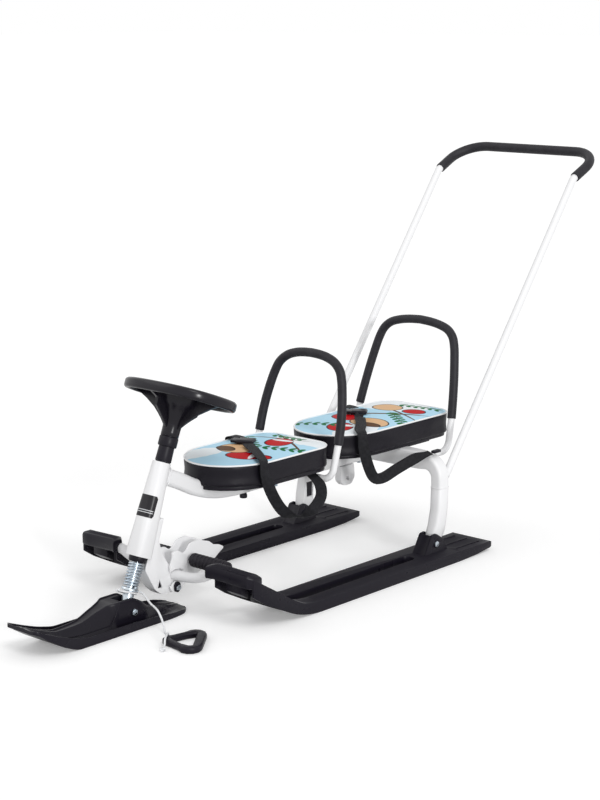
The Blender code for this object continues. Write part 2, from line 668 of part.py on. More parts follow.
def front_ski():
    """A runner with upturned tip, side walls and a ridge that rises to the strut's hub."""
    base = ((0.100, 0.004), (0.120, 0.0), (0.410, 0.0), (0.450, 0.0125), (0.492, 0.0360),
            (TIP_STATION, 0.0535))
    edge = ((0.100, 0.008), (0.127, 0.0105), (0.294, 0.0190), (0.384, 0.0190), (0.423, 0.0260),
            (0.465, 0.0395), (0.502, 0.0540), (TIP_STATION, 0.0615))
    ridge = ((0.100, 0.0090), (0.150, 0.0180), (0.195, 0.0300), (0.225, 0.0500), (0.250, 0.0600),
             (0.290, 0.0600), (0.330, 0.0500), (0.380, 0.0350), (0.430, 0.0330), (0.470, 0.0430),
             (0.505, 0.0558), (TIP_STATION, 0.0622))
    half = ((0.100, 0.030), (0.106, 0.040), (0.125, 0.0500), (0.170, 0.0550), (0.450, 0.0550),
            (0.500, 0.0510), (0.515, 0.0460), (TIP_STATION, 0.0380))
    crest = ((0.100, 0.004), (0.210, 0.020), (0.240, 0.0265), (0.300, 0.0265), (0.400, 0.010),
             (TIP_STATION, 0.006))
    flare = ((0.100, 0.35), (0.200, 0.30), (0.232, 0.06), (0.278, 0.06), (0.325, 0.30),
             (TIP_STATION, 0.35))
    sink = ((0.100, 0.30), (0.200, 0.26), (0.232, 0.09), (0.278, 0.09), (0.325, 0.26),
            (TIP_STATION, 0.30))
    stations = [0.100, 0.106, 0.125, 0.165, 0.200, 0.225, 0.245, 0.270, 0.295, 0.325, 0.360,
                0.400, 0.430, 0.455, 0.480, 0.502, 0.514, 0.5195, TIP_STATION]
    bm = bmesh.new()
    rings = []
    for s in stations:
        bottom, side_top, top = blend(base, s), blend(edge, s), blend(ridge, s)
        wide, narrow = blend(half, s), blend(crest, s)
        top = max(top, side_top + 0.0005)
        shoulder = side_top + (top - side_top) * blend(sink, s)
        outline = [(wide, bottom), (wide, side_top), (wide - 0.004, side_top + 0.0004),
                   (narrow + (wide - narrow) * blend(flare, s), shoulder), (narrow, top - 0.002),
                   (narrow - 0.002, top)]
        mirrored = [(-a, b) for a, b in reversed(outline)]
        keel = [(-0.030, bottom), (-0.026, bottom + 0.003), (-0.004, bottom + 0.003),
                (0.0, bottom), (0.004, bottom + 0.003), (0.026, bottom + 0.003), (0.030, bottom)]
        shrink = min(1.0, wide / 0.050)
        rings.append([at(s, a, b) for a, b in outline + mirrored]
                     + [at(s, a * shrink * 0.9, b if shrink > 0.9 else bottom) for a, b in keel])
    loft(bm, rings)
    ski = add_object("front_ski", bm, BLACK_PLASTIC)
    pocket = block(at(0.262, -0.0142, 0.0115), at(0.2120, 0.0142, 0.0800))
    combine(ski, add_object("pocket_cutter", pocket, ZINC), "DIFFERENCE")
    front_slope = plate([(0.261, 0.040), (0.261, 0.080), (0.284, 0.080)], -0.0142, 0.0142)
    combine(ski, add_object("pocket_cutter", front_slope, ZINC), "DIFFERENCE")
    drill(ski, at(SKI_BOLT[0], -0.05, SKI_BOLT[1]), at(SKI_BOLT[0], 0.05, SKI_BOLT[1]), 0.0048, 8)
    hang(ski, SKI_PITCH, STEERING_MATRIX)
    return ski


def hang(obj, parent, world):
    """Give an object modelled in world space its parent's place as its origin."""
    obj.data.transform(world.inverted())
    obj.parent = parent


def strut():
    """The sliding strut: inner rod, zinc collar and the foot on the ski's bolt."""
    local = Matrix.Identity(4)
    turned("strut_rod", [(0.0080, 0.0458), (0.0080, 0.190)], ZINC, local, STRUT_SLIDE, 12)
    turned("strut_collar", [(0.0150, 0.0392), (0.0185, 0.0402), (0.0185, 0.0442),
                            (0.0178, COLLAR_TOP)], ZINC, local, STRUT_SLIDE, 20)
    foot_bm = bmesh.new()
    rings = []
    for place, half_a, half_b, radius in ((-0.0110, 0.0085, 0.0050, 0.0045),
                                          (-0.0080, 0.0118, 0.0100, 0.0080),
                                          (0.0120, 0.0120, 0.0120, 0.0115),
                                          (0.0389, 0.0120, 0.0120, 0.0118)):
        rings.append([Vector((a, b, place)) for a, b in rounded_box(half_a, half_b, radius, 3)])
    loft(foot_bm, rings)
    foot = add_object("strut_foot", foot_bm, ZINC)
    drill(foot, Vector((-0.05, 0, 0)), Vector((0.05, 0, 0)), 0.0048, 8)
    foot.parent = STRUT_SLIDE
    bolt = bolt_across("front_ski_bolt", SKI_BOLT[0], SKI_BOLT[1], -0.0286, 0.0286, 0.0046, 0.0074)
    hang(bolt, STRUT_SLIDE, STEERING_MATRIX)


def coil(radius, wire, low, high, turns, per_turn):
    """Points of a round spring whose end turns lie nearly flat."""
    count = round(turns * per_turn)
    points = []
    for i in range(count + 1):
        share = i / count
        angle = 2.0 * math.pi * turns * share
        ease = share - math.sin(2.0 * math.pi * share) / (2.0 * math.pi) * 0.10
        rise = low + wire + (high - low - 2.0 * wire) * ease
        points.append(Vector((radius * math.cos(angle), radius * math.sin(angle), rise)))
    return points


def report_gap(name, points, wire, skip):
    """Print the least gap between stretches of a coil that aren't neighbours along it."""
    least = min((a - b).length for i, a in enumerate(points) for b in points[i + skip:])
    print(name, "least gap to itself, mm:", round(1000.0 * (least - 2.0 * wire), 2))


def strut_spring():
    points = coil(SPRING_RADIUS, SPRING_WIRE, COLLAR_TOP + GAP, CAP_BOTTOM - GAP, SPRING_TURNS,
                  SPRING_POINTS)
    report_gap("strut_spring", points, SPRING_WIRE, SPRING_POINTS - 1)
    tube("strut_spring", points, SPRING_WIRE, ZINC, 6, STRUT_SLIDE)


# Steering column and wheel, along the steering axis.

def steering_column():
    local = Matrix.Identity(4)
    turned("spring_cap", [(0.0086, CAP_BOTTOM), (0.0165, CAP_BOTTOM), (0.0185, CAP_BOTTOM + 0.003),
                          (0.0190, HEAD_BOTTOM - GAP), (0.0086, HEAD_BOTTOM - GAP)],
           BLACK_PLASTIC, local, STEERING_AXIS, 20, hollow=True)
    turned("column_tube", [(0.0086, HEAD_BOTTOM), (0.0125, HEAD_BOTTOM), (0.0125, COLUMN_TOP),
                           (0.0086, COLUMN_TOP)], STEEL, local, STEERING_AXIS, 16, hollow=True)
    turned("column_cover", [(0.0131, HEAD_TOP + 0.0022), (0.0170, HEAD_TOP + 0.0022),
                            (0.0165, 0.3455), (0.0185, 0.3462), (0.0200, 0.3482),
                            (0.0200, 0.3650), (0.0190, 0.3672), (0.0131, 0.3672)],
           BLACK_PLASTIC, local, STEERING_AXIS, 20, hollow=True)


def column_bushes():
    """The two plastic bushes that the column turns in, pressed into the head tube."""
    for name, low, high in (("column_bush_lower", HEAD_BOTTOM + 0.0005, HEAD_BOTTOM + 0.020),
                            ("column_bush_upper", HEAD_TOP - 0.022, HEAD_TOP + 0.0019)):
        turned(name, [(0.0131, low), (0.0155, low), (0.0155, high), (0.0131, high)],
               BLACK_PLASTIC, STEERING_MATRIX, sides=16, hollow=True)


def wheel_outline(scale, height, count=28):
    """A superellipse ring of the steering wheel, square to the steering axis."""
    ring = []
    for i in range(count):
        angle = 2.0 * math.pi * (i + 0.5) / count
        c, s = math.cos(angle), math.sin(angle)
        power = 2.0 / 2.5
        ring.append(Vector((math.copysign(abs(c) ** power, c) * (WHEEL_HALF_WIDTH - scale),
                            math.copysign(abs(s) ** power, s) * (WHEEL_HALF_DEPTH - scale), height)))
    return ring


def steering_wheel():
    """A shallow pan with a rounded rim, four webs below it and a neck over the column."""
    bm = bmesh.new()
    rows = ((0.040, WHEEL_TOP - 0.004), (0.016, WHEEL_TOP - 0.0035), (0.008, WHEEL_TOP - 0.0002),
            (0.003, WHEEL_TOP - 0.0015), (0.0, WHEEL_TOP - 0.006), (0.0006, WHEEL_BOTTOM + 0.003),
            (0.004, WHEEL_BOTTOM), (0.009, WHEEL_BOTTOM + 0.001), (0.012, WHEEL_TOP - 0.010),
            (0.040, WHEEL_TOP - 0.009))
    loft(bm, [wheel_outline(inset, height) for inset, height in rows])
    wheel = add_object("steering_wheel", bm, BLACK_PLASTIC)
    neck = bmesh.new()
    neck_rows = ((0.0192, 0.3675), (0.0194, 0.3850), (0.0205, 0.3950), (0.0300, 0.4180),
                 (0.0480, 0.4380), (0.0560, WHEEL_TOP - 0.0080))
    loft(neck, [[Vector((x, y, place)) for x, y in circle(radius, 20)]
                for radius, place in neck_rows])
    combine(wheel, add_object("neck_body", neck, BLACK_PLASTIC), "UNION")
    for across in (True, False):
        reach = (WHEEL_HALF_WIDTH if across else WHEEL_HALF_DEPTH) - 0.005
        half = 0.0026
        side = [(0.012, 0.3840), (0.0200, 0.3855), (0.032, 0.4045), (0.060, 0.4265),
                (reach - 0.030, 0.4415), (reach - 0.004, WHEEL_BOTTOM + 0.001),
                (reach - 0.004, WHEEL_TOP - 0.008)]
        outline = side + [(-r, z) for r, z in reversed(side)]
        web = bmesh.new()
        rings = []
        for offset in (-half, half):
            rings.append([Vector((r, offset, z) if across else (offset, r, z))
                          for r, z in outline])
        loft(web, rings)
        combine(wheel, add_object("web_body", web, BLACK_PLASTIC), "UNION")
    bore = bmesh.new()
    loft(bore, [[Vector((x, y, place)) for x, y in circle(0.0131, 16)]
                for place in (0.360, COLUMN_TOP + 0.0005)])
    combine(wheel, add_object("bore_cutter", bore, ZINC), "DIFFERENCE")
    wheel.parent = STEERING_AXIS
    return wheel


# Push bar, hoops and seats.

def hoop_path(foot, bend, lean, profile):
    """A backrest's centre line: its bent left foot, an arch that leans back, and the right.

    lean is the arch's station at a height and its change with height; profile lists
    the arch's (distance from the middle, height) points up to its top.
    """
    station, height, slope = lean
    arch = [at(station + slope * (z - height), side, z) for side, z in profile]
    low = fillet([at(*foot[0]), at(*foot[1]), arch[0]], [0, bend, 0], 4)
    left = low[:-1] + smooth_path(arch, 0.022)
    return left + [Vector((-p.x, p.y, p.z)) for p in reversed(left[:-1])]


def backrest(prefix, path, foam_low):
    """A bent tube with a foam sleeve over all of it above a height."""
    tube(prefix + "_hoop", path, HOOP_TUBE_RADIUS, WHITE_PAINT, 10)
    covered = [p for p in path if p.z > foam_low]
    sleeve(prefix + "_hoop_foam", covered, HOOP_FOAM_RADIUS, HOOP_TUBE_RADIUS + 0.0009,
           Vector((0.0, 1.0, 0.25)), BLACK_FOAM, 10)


def rear_backrest():
    path = hoop_path([(ARCH_STATION - 0.0180, 0.1405, ARCH_HEIGHT), (-0.6610, 0.1405, ARCH_HEIGHT)],
                     0.030, (-0.7010, 0.400, -0.26),
                     [(0.1395, 0.2995), (0.1345, 0.342), (0.1275, 0.390), (0.1190, 0.435),
                      (0.1130, 0.4600), (0.1035, 0.4820), (0.0860, 0.4975), (0.0600, 0.5060),
                      (0.0310, 0.5105), (0.0, 0.5125)])
    backrest("rear", path, 0.299)


def front_backrest():
    path = hoop_path([(-0.2700, 0.0125, BACKBONE_HEIGHT), (-0.2700, 0.1180, BACKBONE_HEIGHT)],
                     0.024, (-0.3170, 0.400, -0.245),
                     [(0.1180, 0.2995), (0.1165, 0.340), (0.1125, 0.376), (0.1055, 0.412),
                      (0.0985, 0.4370), (0.0890, 0.4570), (0.0700, 0.4730), (0.0460, 0.4815),
                      (0.0230, 0.4850), (0.0, 0.4862)])
    backrest("front", path, 0.299)


def seat_outline(front, rear, half, nose, corner, inset, steps=9):
    """A seat seen from above: an elliptic nose, straight sides and round rear corners."""
    points = []
    wide = half - inset
    start = front - nose
    for i in range(steps * 2 + 1):
        angle = math.pi / 2.0 - math.pi * i / (steps * 2)
        points.append((start + (nose - inset) * math.cos(angle), wide * math.sin(angle)))
    back = rear + inset
    round_off = max(corner - inset, 0.004)
    for sign in (-1, 1):
        for i in range(5):
            angle = math.pi / 2.0 * i / 4
            turn = angle if sign < 0 else math.pi / 2.0 - angle
            points.append((back + round_off - round_off * math.sin(turn),
                           sign * (wide - round_off + round_off * math.cos(turn))))
    return points


def clear_backbone(target):
    """Hollow the underside of a seat where the backbone rises into it."""
    return combine(target, add_object("backbone_cutter", backbone_body(0.001), ZINC),
                   "DIFFERENCE")


def seat_pad(name, front, rear, bottom, top, nose):
    """A vinyl cushion: drawn-in sides, a piped rim and a low crown."""
    corner = 0.048
    rim = top - 0.0025
    rows = ((0.0025, bottom), (0.0, bottom + 0.004), (0.0016, (bottom + rim) / 2.0),
            (0.0004, rim - 0.003), (0.0, rim - 0.001), (0.0010, rim + 0.0012), (0.0045, rim),
            (0.0120, rim + 0.0022), (0.0450, top + 0.0028))
    bm = bmesh.new()
    loft(bm, [[at(s, y, height) for s, y in
               seat_outline(front, rear, SEAT_HALF_WIDTH, nose, corner, inset)]
              for inset, height in rows])
    return add_object(name, bm, BLACK_VINYL, sharp=50.0)


def seat_board(name, front, rear, bottom, thick, nose, holes):
    bm = bmesh.new()
    outline = seat_outline(front, rear, SEAT_HALF_WIDTH, nose, 0.048, 0.006, 6)
    loft(bm, [[at(s, y, height) for s, y in outline] for height in (bottom, bottom + thick)])
    board = add_object(name, bm, BLACK_PLASTIC)
    for station in holes:
        drill(board, at(station, 0, bottom - 0.01), at(station, 0, bottom + thick - 0.0015),
              0.0034, 8)
    return board


def seats():
    clear_backbone(seat_pad("seat_pad_front", FRONT_SEAT["front"], FRONT_SEAT["rear"],
                            FRONT_SEAT["bottom"], FRONT_SEAT["top"], FRONT_SEAT["nose"]))
    seat_pad("seat_pad_rear", REAR_SEAT["front"], REAR_SEAT["rear"], REAR_SEAT["bottom"],
             REAR_SEAT["top"], REAR_SEAT["nose"])
    clear_backbone(seat_board("seat_board_front", FRONT_SEAT["front"], FRONT_SEAT["rear"], 0.2436,
                              0.0079, FRONT_SEAT["nose"], SEAT_BOLTS[:2]))
    seat_board("seat_board_rear", REAR_SEAT["front"], REAR_SEAT["rear"], 0.2476, 0.0073,
               REAR_SEAT["nose"], SEAT_BOLTS[2:])
    spacer = block(at(-0.375, -0.045, 0.2433), at(-0.528, 0.045, 0.2473))
    holder = add_object("rear_seat_bracket", spacer, BLACK_PLASTIC)
    for station in SEAT_BOLTS[2:]:
        drill(holder, at(station, 0, 0.23), at(station, 0, 0.26), 0.0034, 8)
    rail = block(at(-0.572, -0.092, 0.2415), at(-0.655, 0.092, 0.2473), 0.0015)
    add_object("rear_seat_rail", rail, BLACK_PLASTIC)


def seat_bolt(name, station, top, head, material, sides):
    """A screw up through the backbone into a seat board; head is its profile below."""
    bm = bmesh.new()
    profile = head + [(0.0030, 0.2067), (0.0030, top)]
    loft(bm, [[at(station + x, y, height) for x, y in circle(radius, sides)]
              for radius, height in profile])
    add_object(name, bm, material)


def seat_bolts():
    """A black hand knob at the front, and hexagon bolts behind it."""
    knob = [(0.0060, 0.1955), (0.0085, 0.1970), (0.0085, 0.2035), (0.0070, 0.2067)]
    hexagon = [(0.0060, 0.2025), (0.0060, 0.2067)]
    seat_bolt("seat_knob", SEAT_BOLTS[0], 0.2495, knob, BLACK_PLASTIC, 12)
    seat_bolt("seat_bolt_front", SEAT_BOLTS[1], 0.2495, hexagon, STEEL, 6)
    seat_bolt("seat_bolt_rear", SEAT_BOLTS[2], 0.2530, hexagon, STEEL, 6)


# Foot brake.

def brake_plate(name, side):
    """A toothed steel plate with an open mouth that swings clear of the traverse."""
    outline = fillet([(0.127, 0.117, 0), (0.127, 0.130, 0), (0.109, 0.130, 0), (0.092, 0.118, 0),
                      (0.074, 0.138, 0), (0.047, 0.141, 0), (0.032, 0.1345, 0), (0.017, 0.1300, 0),
                      (0.004, 0.1200, 0), (-0.014, 0.1160, 0), (-0.029, 0.108, 0),
                      (-0.012, 0.0985, 0), (0.000, 0.090, 0), (0.040, 0.0735, 0),
                      (0.090, 0.0560, 0), (0.104, 0.0425, 0), (0.130, 0.0425, 0),
                      (0.134, 0.052, 0), (0.134, 0.100, 0)],
                     [0.004, 0.004, 0.010, 0.010, 0.012, 0.010, 0.004, 0.004, 0.004, 0.004, 0.003,
                      0.004, 0.004, 0.02, 0.010, 0.010, 0.010, 0.006, 0.006], 2, closed=True)
    lever = add_object(name, plate([(p.x, p.y) for p in outline], side * PLATE_INNER,
                                   side * PLATE_OUTER), WHITE_PAINT)
    inner, outer = 0.0130, 0.0395
    angles = [math.radians(a) for a in (124, 110, 96, 82, 68, 52, 36, 20)]
    mouth = [(BRAKE_PIVOT[0] + outer * math.cos(a), BRAKE_PIVOT[1] + outer * math.sin(a))
             for a in angles]
    mouth += [(BRAKE_PIVOT[0] + inner * math.cos(a), BRAKE_PIVOT[1] + inner * math.sin(a))
              for a in reversed(angles)]
    cutter = plate(mouth, side * (PLATE_INNER - 0.002), side * (PLATE_OUTER + 0.002))
    combine(lever, add_object("mouth_cutter", cutter, ZINC), "DIFFERENCE")
    for place, radius in ((BRAKE_PIVOT, 0.0046), (PEDAL, 0.0056)):
        drill(lever, at(place[0], side * 0.010, place[1]), at(place[0], side * 0.030, place[1]),
              radius, 10)
    hang(lever, BRAKE_AXIS, BRAKE_MATRIX)
    return lever


def pedal_grip(name, side):
    """A ribbed rubber grip on the pedal rod."""
    low, high, ribs = 0.0300, 0.1335, 9
    bm = bmesh.new()
    profile = [(0.0118, low), (0.0142, low + 0.0020)]
    pitch = (high - low - 0.010) / ribs
    for i in range(ribs):
        start = low + 0.004 + pitch * i
        profile += [(0.0150, start), (0.0150, start + pitch * 0.60),
                    (0.0134, start + pitch * 0.80)]
    profile += [(0.0142, high - 0.0020), (0.0118, high)]
    sides = 10
    rings = [[at(PEDAL[0] + x, side * left, PEDAL[1] + z) for x, z in circle(radius, sides)]
             for radius, left in profile]
    bore = [[at(PEDAL[0] + x, side * left, PEDAL[1] + z) for x, z in circle(0.0058, sides)]
            for left in (high, low)]
    loft(bm, rings + bore, ring_of_rings=True)
    grip = add_object(name, bm, BLACK_RUBBER)
    hang(grip, BRAKE_AXIS, BRAKE_MATRIX)


def brake_bush(name, side):
    """The black capsule-shaped washer round the brake's pivot pin."""
    shape = []
    for i in range(16):
        angle = 2.0 * math.pi * i / 16
        lift = 0.004 if math.sin(angle) >= 0.0 else -0.002
        shape.append((BRAKE_PIVOT[0] + 0.0084 * math.cos(angle),
                      BRAKE_PIVOT[1] + lift + 0.0084 * math.sin(angle)))
    bush = add_object(name, plate(shape, side * 0.0228, side * 0.0272), BLACK_PLASTIC)
    drill(bush, at(BRAKE_PIVOT[0], side * 0.02, BRAKE_PIVOT[1]),
          at(BRAKE_PIVOT[0], side * 0.03, BRAKE_PIVOT[1]), 0.0046, 10)
    hang(bush, BRAKE_AXIS, BRAKE_MATRIX)


def brake():
    for side, word in ((1, "left"), (-1, "right")):
        brake_plate("brake_plate_" + word, side)
        pedal_grip("pedal_grip_" + word, side)
        brake_bush("brake_bush_" + word, side)
    pedal_rod = add_object("pedal_rod", rod(at(PEDAL[0], -0.1320, PEDAL[1]),
                                            at(PEDAL[0], 0.1320, PEDAL[1]), 0.0052, 12), STEEL)
    hang(pedal_rod, BRAKE_AXIS, BRAKE_MATRIX)
    bolt_across("brake_pivot_pin", BRAKE_PIVOT[0], BRAKE_PIVOT[1], -0.0275, 0.0275, 0.0048,
                0.0066)
    points = []
    for point in coil(BRAKE_SPRING_RADIUS, BRAKE_SPRING_WIRE, -0.0100, 0.0100, 4.0, 8):
        points.append(at(BRAKE_PIVOT[0] + point.x, point.z, BRAKE_PIVOT[1] + point.y))
    report_gap("brake_spring", points, BRAKE_SPRING_WIRE, 7)
    tube("brake_spring", points, BRAKE_SPRING_WIRE, STEEL, 6)


# Belts, buckles, tow cord and small fasteners.

def webbing(name, route, widths, thick=0.0016, width=0.025, spacing=0.022):
    """A flat strap along a smooth route; widths gives the way its width points."""
    path = smooth_path(route, spacing)
    directions = smooth_path(widths, 10.0)
    bm = bmesh.new()
    rings = []
    for i, point in enumerate(path):
        share = i / (len(path) - 1) * (len(directions) - 1)
        k = min(int(share), len(directions) - 2)
        hint = directions[k].lerp(directions[k + 1], share - k)
        tangent = (path[min(i + 1, len(path) - 1)] - path[max(i - 1, 0)]).normalized()
        across = (hint - tangent * hint.dot(tangent)).normalized()
        frame = (point, across, tangent.cross(across))
        rings.append(ring_on(frame, [(width / 2, thick / 2), (-width / 2, thick / 2),
                                     (-width / 2, -thick / 2), (width / 2, -thick / 2)]))
    loft(bm, rings)
    return add_object(name, bm, BLACK_WEBBING)


def way(station, left, height):
    """A direction given in the sled's terms."""
    return Vector((left, -station, height)).normalized()


def belts():
    """One lap strap a seat: over the near edge, down in a loop and back below."""
    webbing("belt_front_near",
            [at(-0.138, -0.010, 0.3105), at(-0.100, 0.050, 0.3100), at(-0.074, 0.088, 0.3080),
             at(-0.064, 0.1040, 0.3055), at(-0.060, 0.1105, 0.298), at(-0.064, 0.1120, 0.270),
             at(-0.082, 0.117, 0.225), at(-0.112, 0.121, 0.186), at(-0.158, 0.123, 0.164),
             at(-0.200, 0.123, 0.172), at(-0.230, 0.122, 0.196), at(-0.242, 0.108, 0.220),
             at(-0.244, 0.080, 0.2385)],
            [way(1, 0.5, 0), way(1, 0.4, 0), way(1, 0, 0.1), way(1, 0, 0.3), way(0.8, -0.5, 0.5),
             way(0.3, 1.0, 0.2), way(0.2, 1.0, 0.1), way(-0.8, 0.5, 0.1), way(-1, 0, 0.2),
             way(-1, 0, 0.1)])
    webbing("belt_front_far",
            [at(-0.172, -0.0660, 0.3100), at(-0.180, -0.0900, 0.3080), at(-0.183, -0.1040, 0.3055),
             at(-0.185, -0.1105, 0.2980), at(-0.190, -0.1120, 0.270), at(-0.200, -0.1120, 0.240)],
            [way(1, -0.2, 0), way(1, -0.1, 0), way(1, 0, 0), way(1, 0, 0.1)])
    webbing("belt_rear_near",
            [at(-0.506, 0.000, 0.3155), at(-0.440, 0.060, 0.3145), at(-0.400, 0.090, 0.3130),
             at(-0.389, 0.1040, 0.3105), at(-0.385, 0.1105, 0.303), at(-0.388, 0.1120, 0.275),
             at(-0.396, 0.118, 0.235), at(-0.408, 0.126, 0.206), at(-0.430, 0.134, 0.203),
             at(-0.465, 0.148, 0.220),
             at(-0.505, 0.168, 0.240), at(-0.538, 0.184, 0.2495)],
            [way(0.7, 0.7, 0), way(0.8, 0.5, 0), way(1, 0.1, 0.1), way(1, 0.2, 0.1),
             way(1, 0.5, 0), way(0.9, 0.9, 0), way(0.6, 1.0, 0), way(0.4, 1, 0.1), way(0.5, 1, 0.1)])
    webbing("belt_rear_far",
            [at(-0.560, -0.0620, 0.3150), at(-0.572, -0.0900, 0.3130), at(-0.577, -0.1040, 0.3105),
             at(-0.580, -0.1105, 0.3030), at(-0.585, -0.1120, 0.275), at(-0.592, -0.1120, 0.2535)],
            [way(1, -0.3, 0), way(1, -0.1, 0), way(1, 0, 0), way(1, 0, 0.1)])
    clip = block(at(-0.5395, 0.1840, 0.2478), at(-0.5640, 0.1960, 0.2545), 0.0015)
    add_object("belt_clip", clip, BLACK_PLASTIC)


def buckle(name, station, left, height, turn):
    """A side-release buckle: a flat female body and the male clip's stem beside it."""
    matrix = Matrix.Translation(at(station, left, height)) @ Matrix.Rotation(turn, 4, "Z")
    body = add_object(name, block((-0.016, -0.022, -0.0045), (0.016, 0.017, 0.0045), 0.003),
                      BLACK_PLASTIC)
    stem = block((-0.013, 0.0150, -0.0030), (0.013, 0.0300, 0.0030), 0.0012)
    combine(body, add_object("stem_body", stem, BLACK_PLASTIC), "UNION")
    body.data.transform(matrix)
    return body


def buckles():
    buckle("buckle_front", -0.1565, -0.0355, 0.3100, math.radians(115))
    buckle("buckle_rear", -0.5350, -0.0290, 0.3150, math.radians(125))


def tow_line():
    """A cord ring round the strut, and the tow cord over the ski to the handle's tip."""
    ring = []
    for i in range(14):
        angle = 2.0 * math.pi * i / 14
        ring.append(Vector((0.0165 * math.cos(angle), -0.0040 + 0.0205 * math.sin(angle),
                            0.0345 + 0.0020 * math.cos(angle))))
    tube("cord_loop", ring, LOOP_RADIUS, WHITE_CORD, 8, STRUT_SLIDE, closed=True)
    route = [at(0.2168, 0.0158, 0.0636), at(0.2168, 0.0240, 0.0632), at(0.2195, 0.0380, 0.0568),
             at(0.2230, 0.0540, 0.0490), at(0.2265, 0.0700, 0.0450), at(0.2310, 0.0850, 0.0405),
             at(0.2325, 0.0960, 0.0280), at(0.2330, 0.1030, 0.0130), at(0.2370, 0.1100, 0.0036),
             at(0.2440, 0.1225, 0.0026), at(0.2525, 0.1370, 0.0028), at(0.2589, 0.1430, 0.0068),
             at(0.2625, 0.1461, 0.0136), at(0.2668, 0.1492, 0.0178), at(0.2787, 0.1577, 0.0186),
             at(0.2908, 0.1664, 0.0178), at(0.2951, 0.1695, 0.0136), at(0.2987, 0.1724, 0.0068),
             at(0.3045, 0.1762, 0.0028), at(0.3115, 0.1809, 0.0026)]
    tube("tow_cord", smooth_path(route, 0.0095), CORD_RADIUS, WHITE_CORD, 8)


def tow_handle():
    """A triangular hand grip: a broad tip for the cord, two slim legs and a wide side."""
    tip = at(0.2810, 0.1545, HANDLE_RISE)
    rear = at(0.1870, 0.1720, HANDLE_RISE)
    front = at(0.2945, 0.2535, HANDLE_RISE)
    spine = fillet([tip, rear, front], [0.010, 0.013, 0.015], 4, closed=True)
    at_tip, at_rear, at_front = spine[:5], spine[5:10], spine[10:]
    legs = [at_tip[-1].lerp(at_rear[0], share) for share in (0.25, 0.75)]
    back = [at_front[-1].lerp(at_tip[0], share) for share in (0.25, 0.75)]
    route = [(point, 0.0092) for point in at_tip] + [(point, 0.0072) for point in legs]
    route += [(point, 0.0102) for point in at_rear + at_front]
    route += [(point, 0.0072) for point in back]
    rings = []
    for i, (point, half) in enumerate(route):
        tangent = route[(i + 1) % len(route)][0] - route[i - 1][0]
        across = Vector((-tangent.y, tangent.x, 0.0)).normalized()
        rings.append([point + across * a + Vector((0.0, 0.0, b))
                      for a, b in rounded_box(half, HANDLE_RISE, 0.0055, 2)])
    bm = bmesh.new()
    loft(bm, rings, ring_of_rings=True)
    return add_object("tow_handle", bm, BLACK_PLASTIC)


def ski_bolts():
    for word, side in (("left", 1), ("right", -1)):
        ends = sorted((side * 0.1812, side * 0.2188))
        bolt_across("ski_bolt_" + word, SKI_BOLT_REAR[0], SKI_BOLT_REAR[1], ends[0], ends[1],
                    0.0046, 0.0074)


def main():
    head_tube()
    column_bushes()
    backbone()
    front_bracket()
    front_traverse()
    rear_arch()
    for word, side in (("left", 1), ("right", -1)):
        rear_leg("rear_leg_" + word, side)
        leg_liner("leg_liner_" + word, side)
        side_ski("side_ski_" + word, side)
    rear_lug()
    ski_bolts()
    push_bar()
    rear_backrest()
    front_backrest()
    seats()
    seat_bolts()
    steering_column()
    steering_wheel()
    strut()
    strut_spring()
    front_ski()
    brake()
    belts()
    buckles()
    tow_line()
    tow_handle()


main()
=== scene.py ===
# Looks of a two-seat steerable snow sled with a push bar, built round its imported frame.
import json
import math

import bmesh
import bpy
from mathutils import Matrix, Vector
from mathutils.bvhtree import BVHTree

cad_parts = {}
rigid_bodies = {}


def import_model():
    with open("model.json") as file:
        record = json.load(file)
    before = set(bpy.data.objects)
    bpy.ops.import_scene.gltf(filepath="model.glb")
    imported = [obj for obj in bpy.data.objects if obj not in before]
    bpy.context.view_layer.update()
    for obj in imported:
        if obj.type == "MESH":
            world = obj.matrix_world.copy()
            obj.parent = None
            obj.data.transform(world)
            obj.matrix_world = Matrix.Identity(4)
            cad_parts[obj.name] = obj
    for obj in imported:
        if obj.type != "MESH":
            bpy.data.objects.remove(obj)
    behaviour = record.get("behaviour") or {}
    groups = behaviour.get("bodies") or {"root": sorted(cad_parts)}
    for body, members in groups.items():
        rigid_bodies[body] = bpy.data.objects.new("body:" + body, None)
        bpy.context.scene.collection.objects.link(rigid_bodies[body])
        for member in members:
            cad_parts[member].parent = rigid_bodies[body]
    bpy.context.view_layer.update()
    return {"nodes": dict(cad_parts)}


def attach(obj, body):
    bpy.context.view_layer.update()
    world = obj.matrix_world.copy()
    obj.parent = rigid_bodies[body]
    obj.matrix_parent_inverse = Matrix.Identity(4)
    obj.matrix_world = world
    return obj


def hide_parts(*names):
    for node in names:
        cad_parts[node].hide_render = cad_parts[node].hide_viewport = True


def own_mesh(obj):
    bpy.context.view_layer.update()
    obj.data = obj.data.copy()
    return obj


for thing in list(bpy.data.objects):
    bpy.data.objects.remove(thing, do_unlink=True)
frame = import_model()


# The camera stands ahead of the sled on its left, a little above the seats.
# A pale floor and plain soft light stand in for the white photo studio.

CAMERA_PLACE = (2.717, -3.0824, 1.248)
CAMERA_AIM = (-0.651, 0.7305, -0.207)
CAMERA_ROLL = math.radians(-0.07)
CAMERA_LENS = 84.14


def put_in(name, data):
    """A new object in the scene, made from its data."""
    thing = bpy.data.objects.new(name, data)
    bpy.context.scene.collection.objects.link(thing)
    return thing


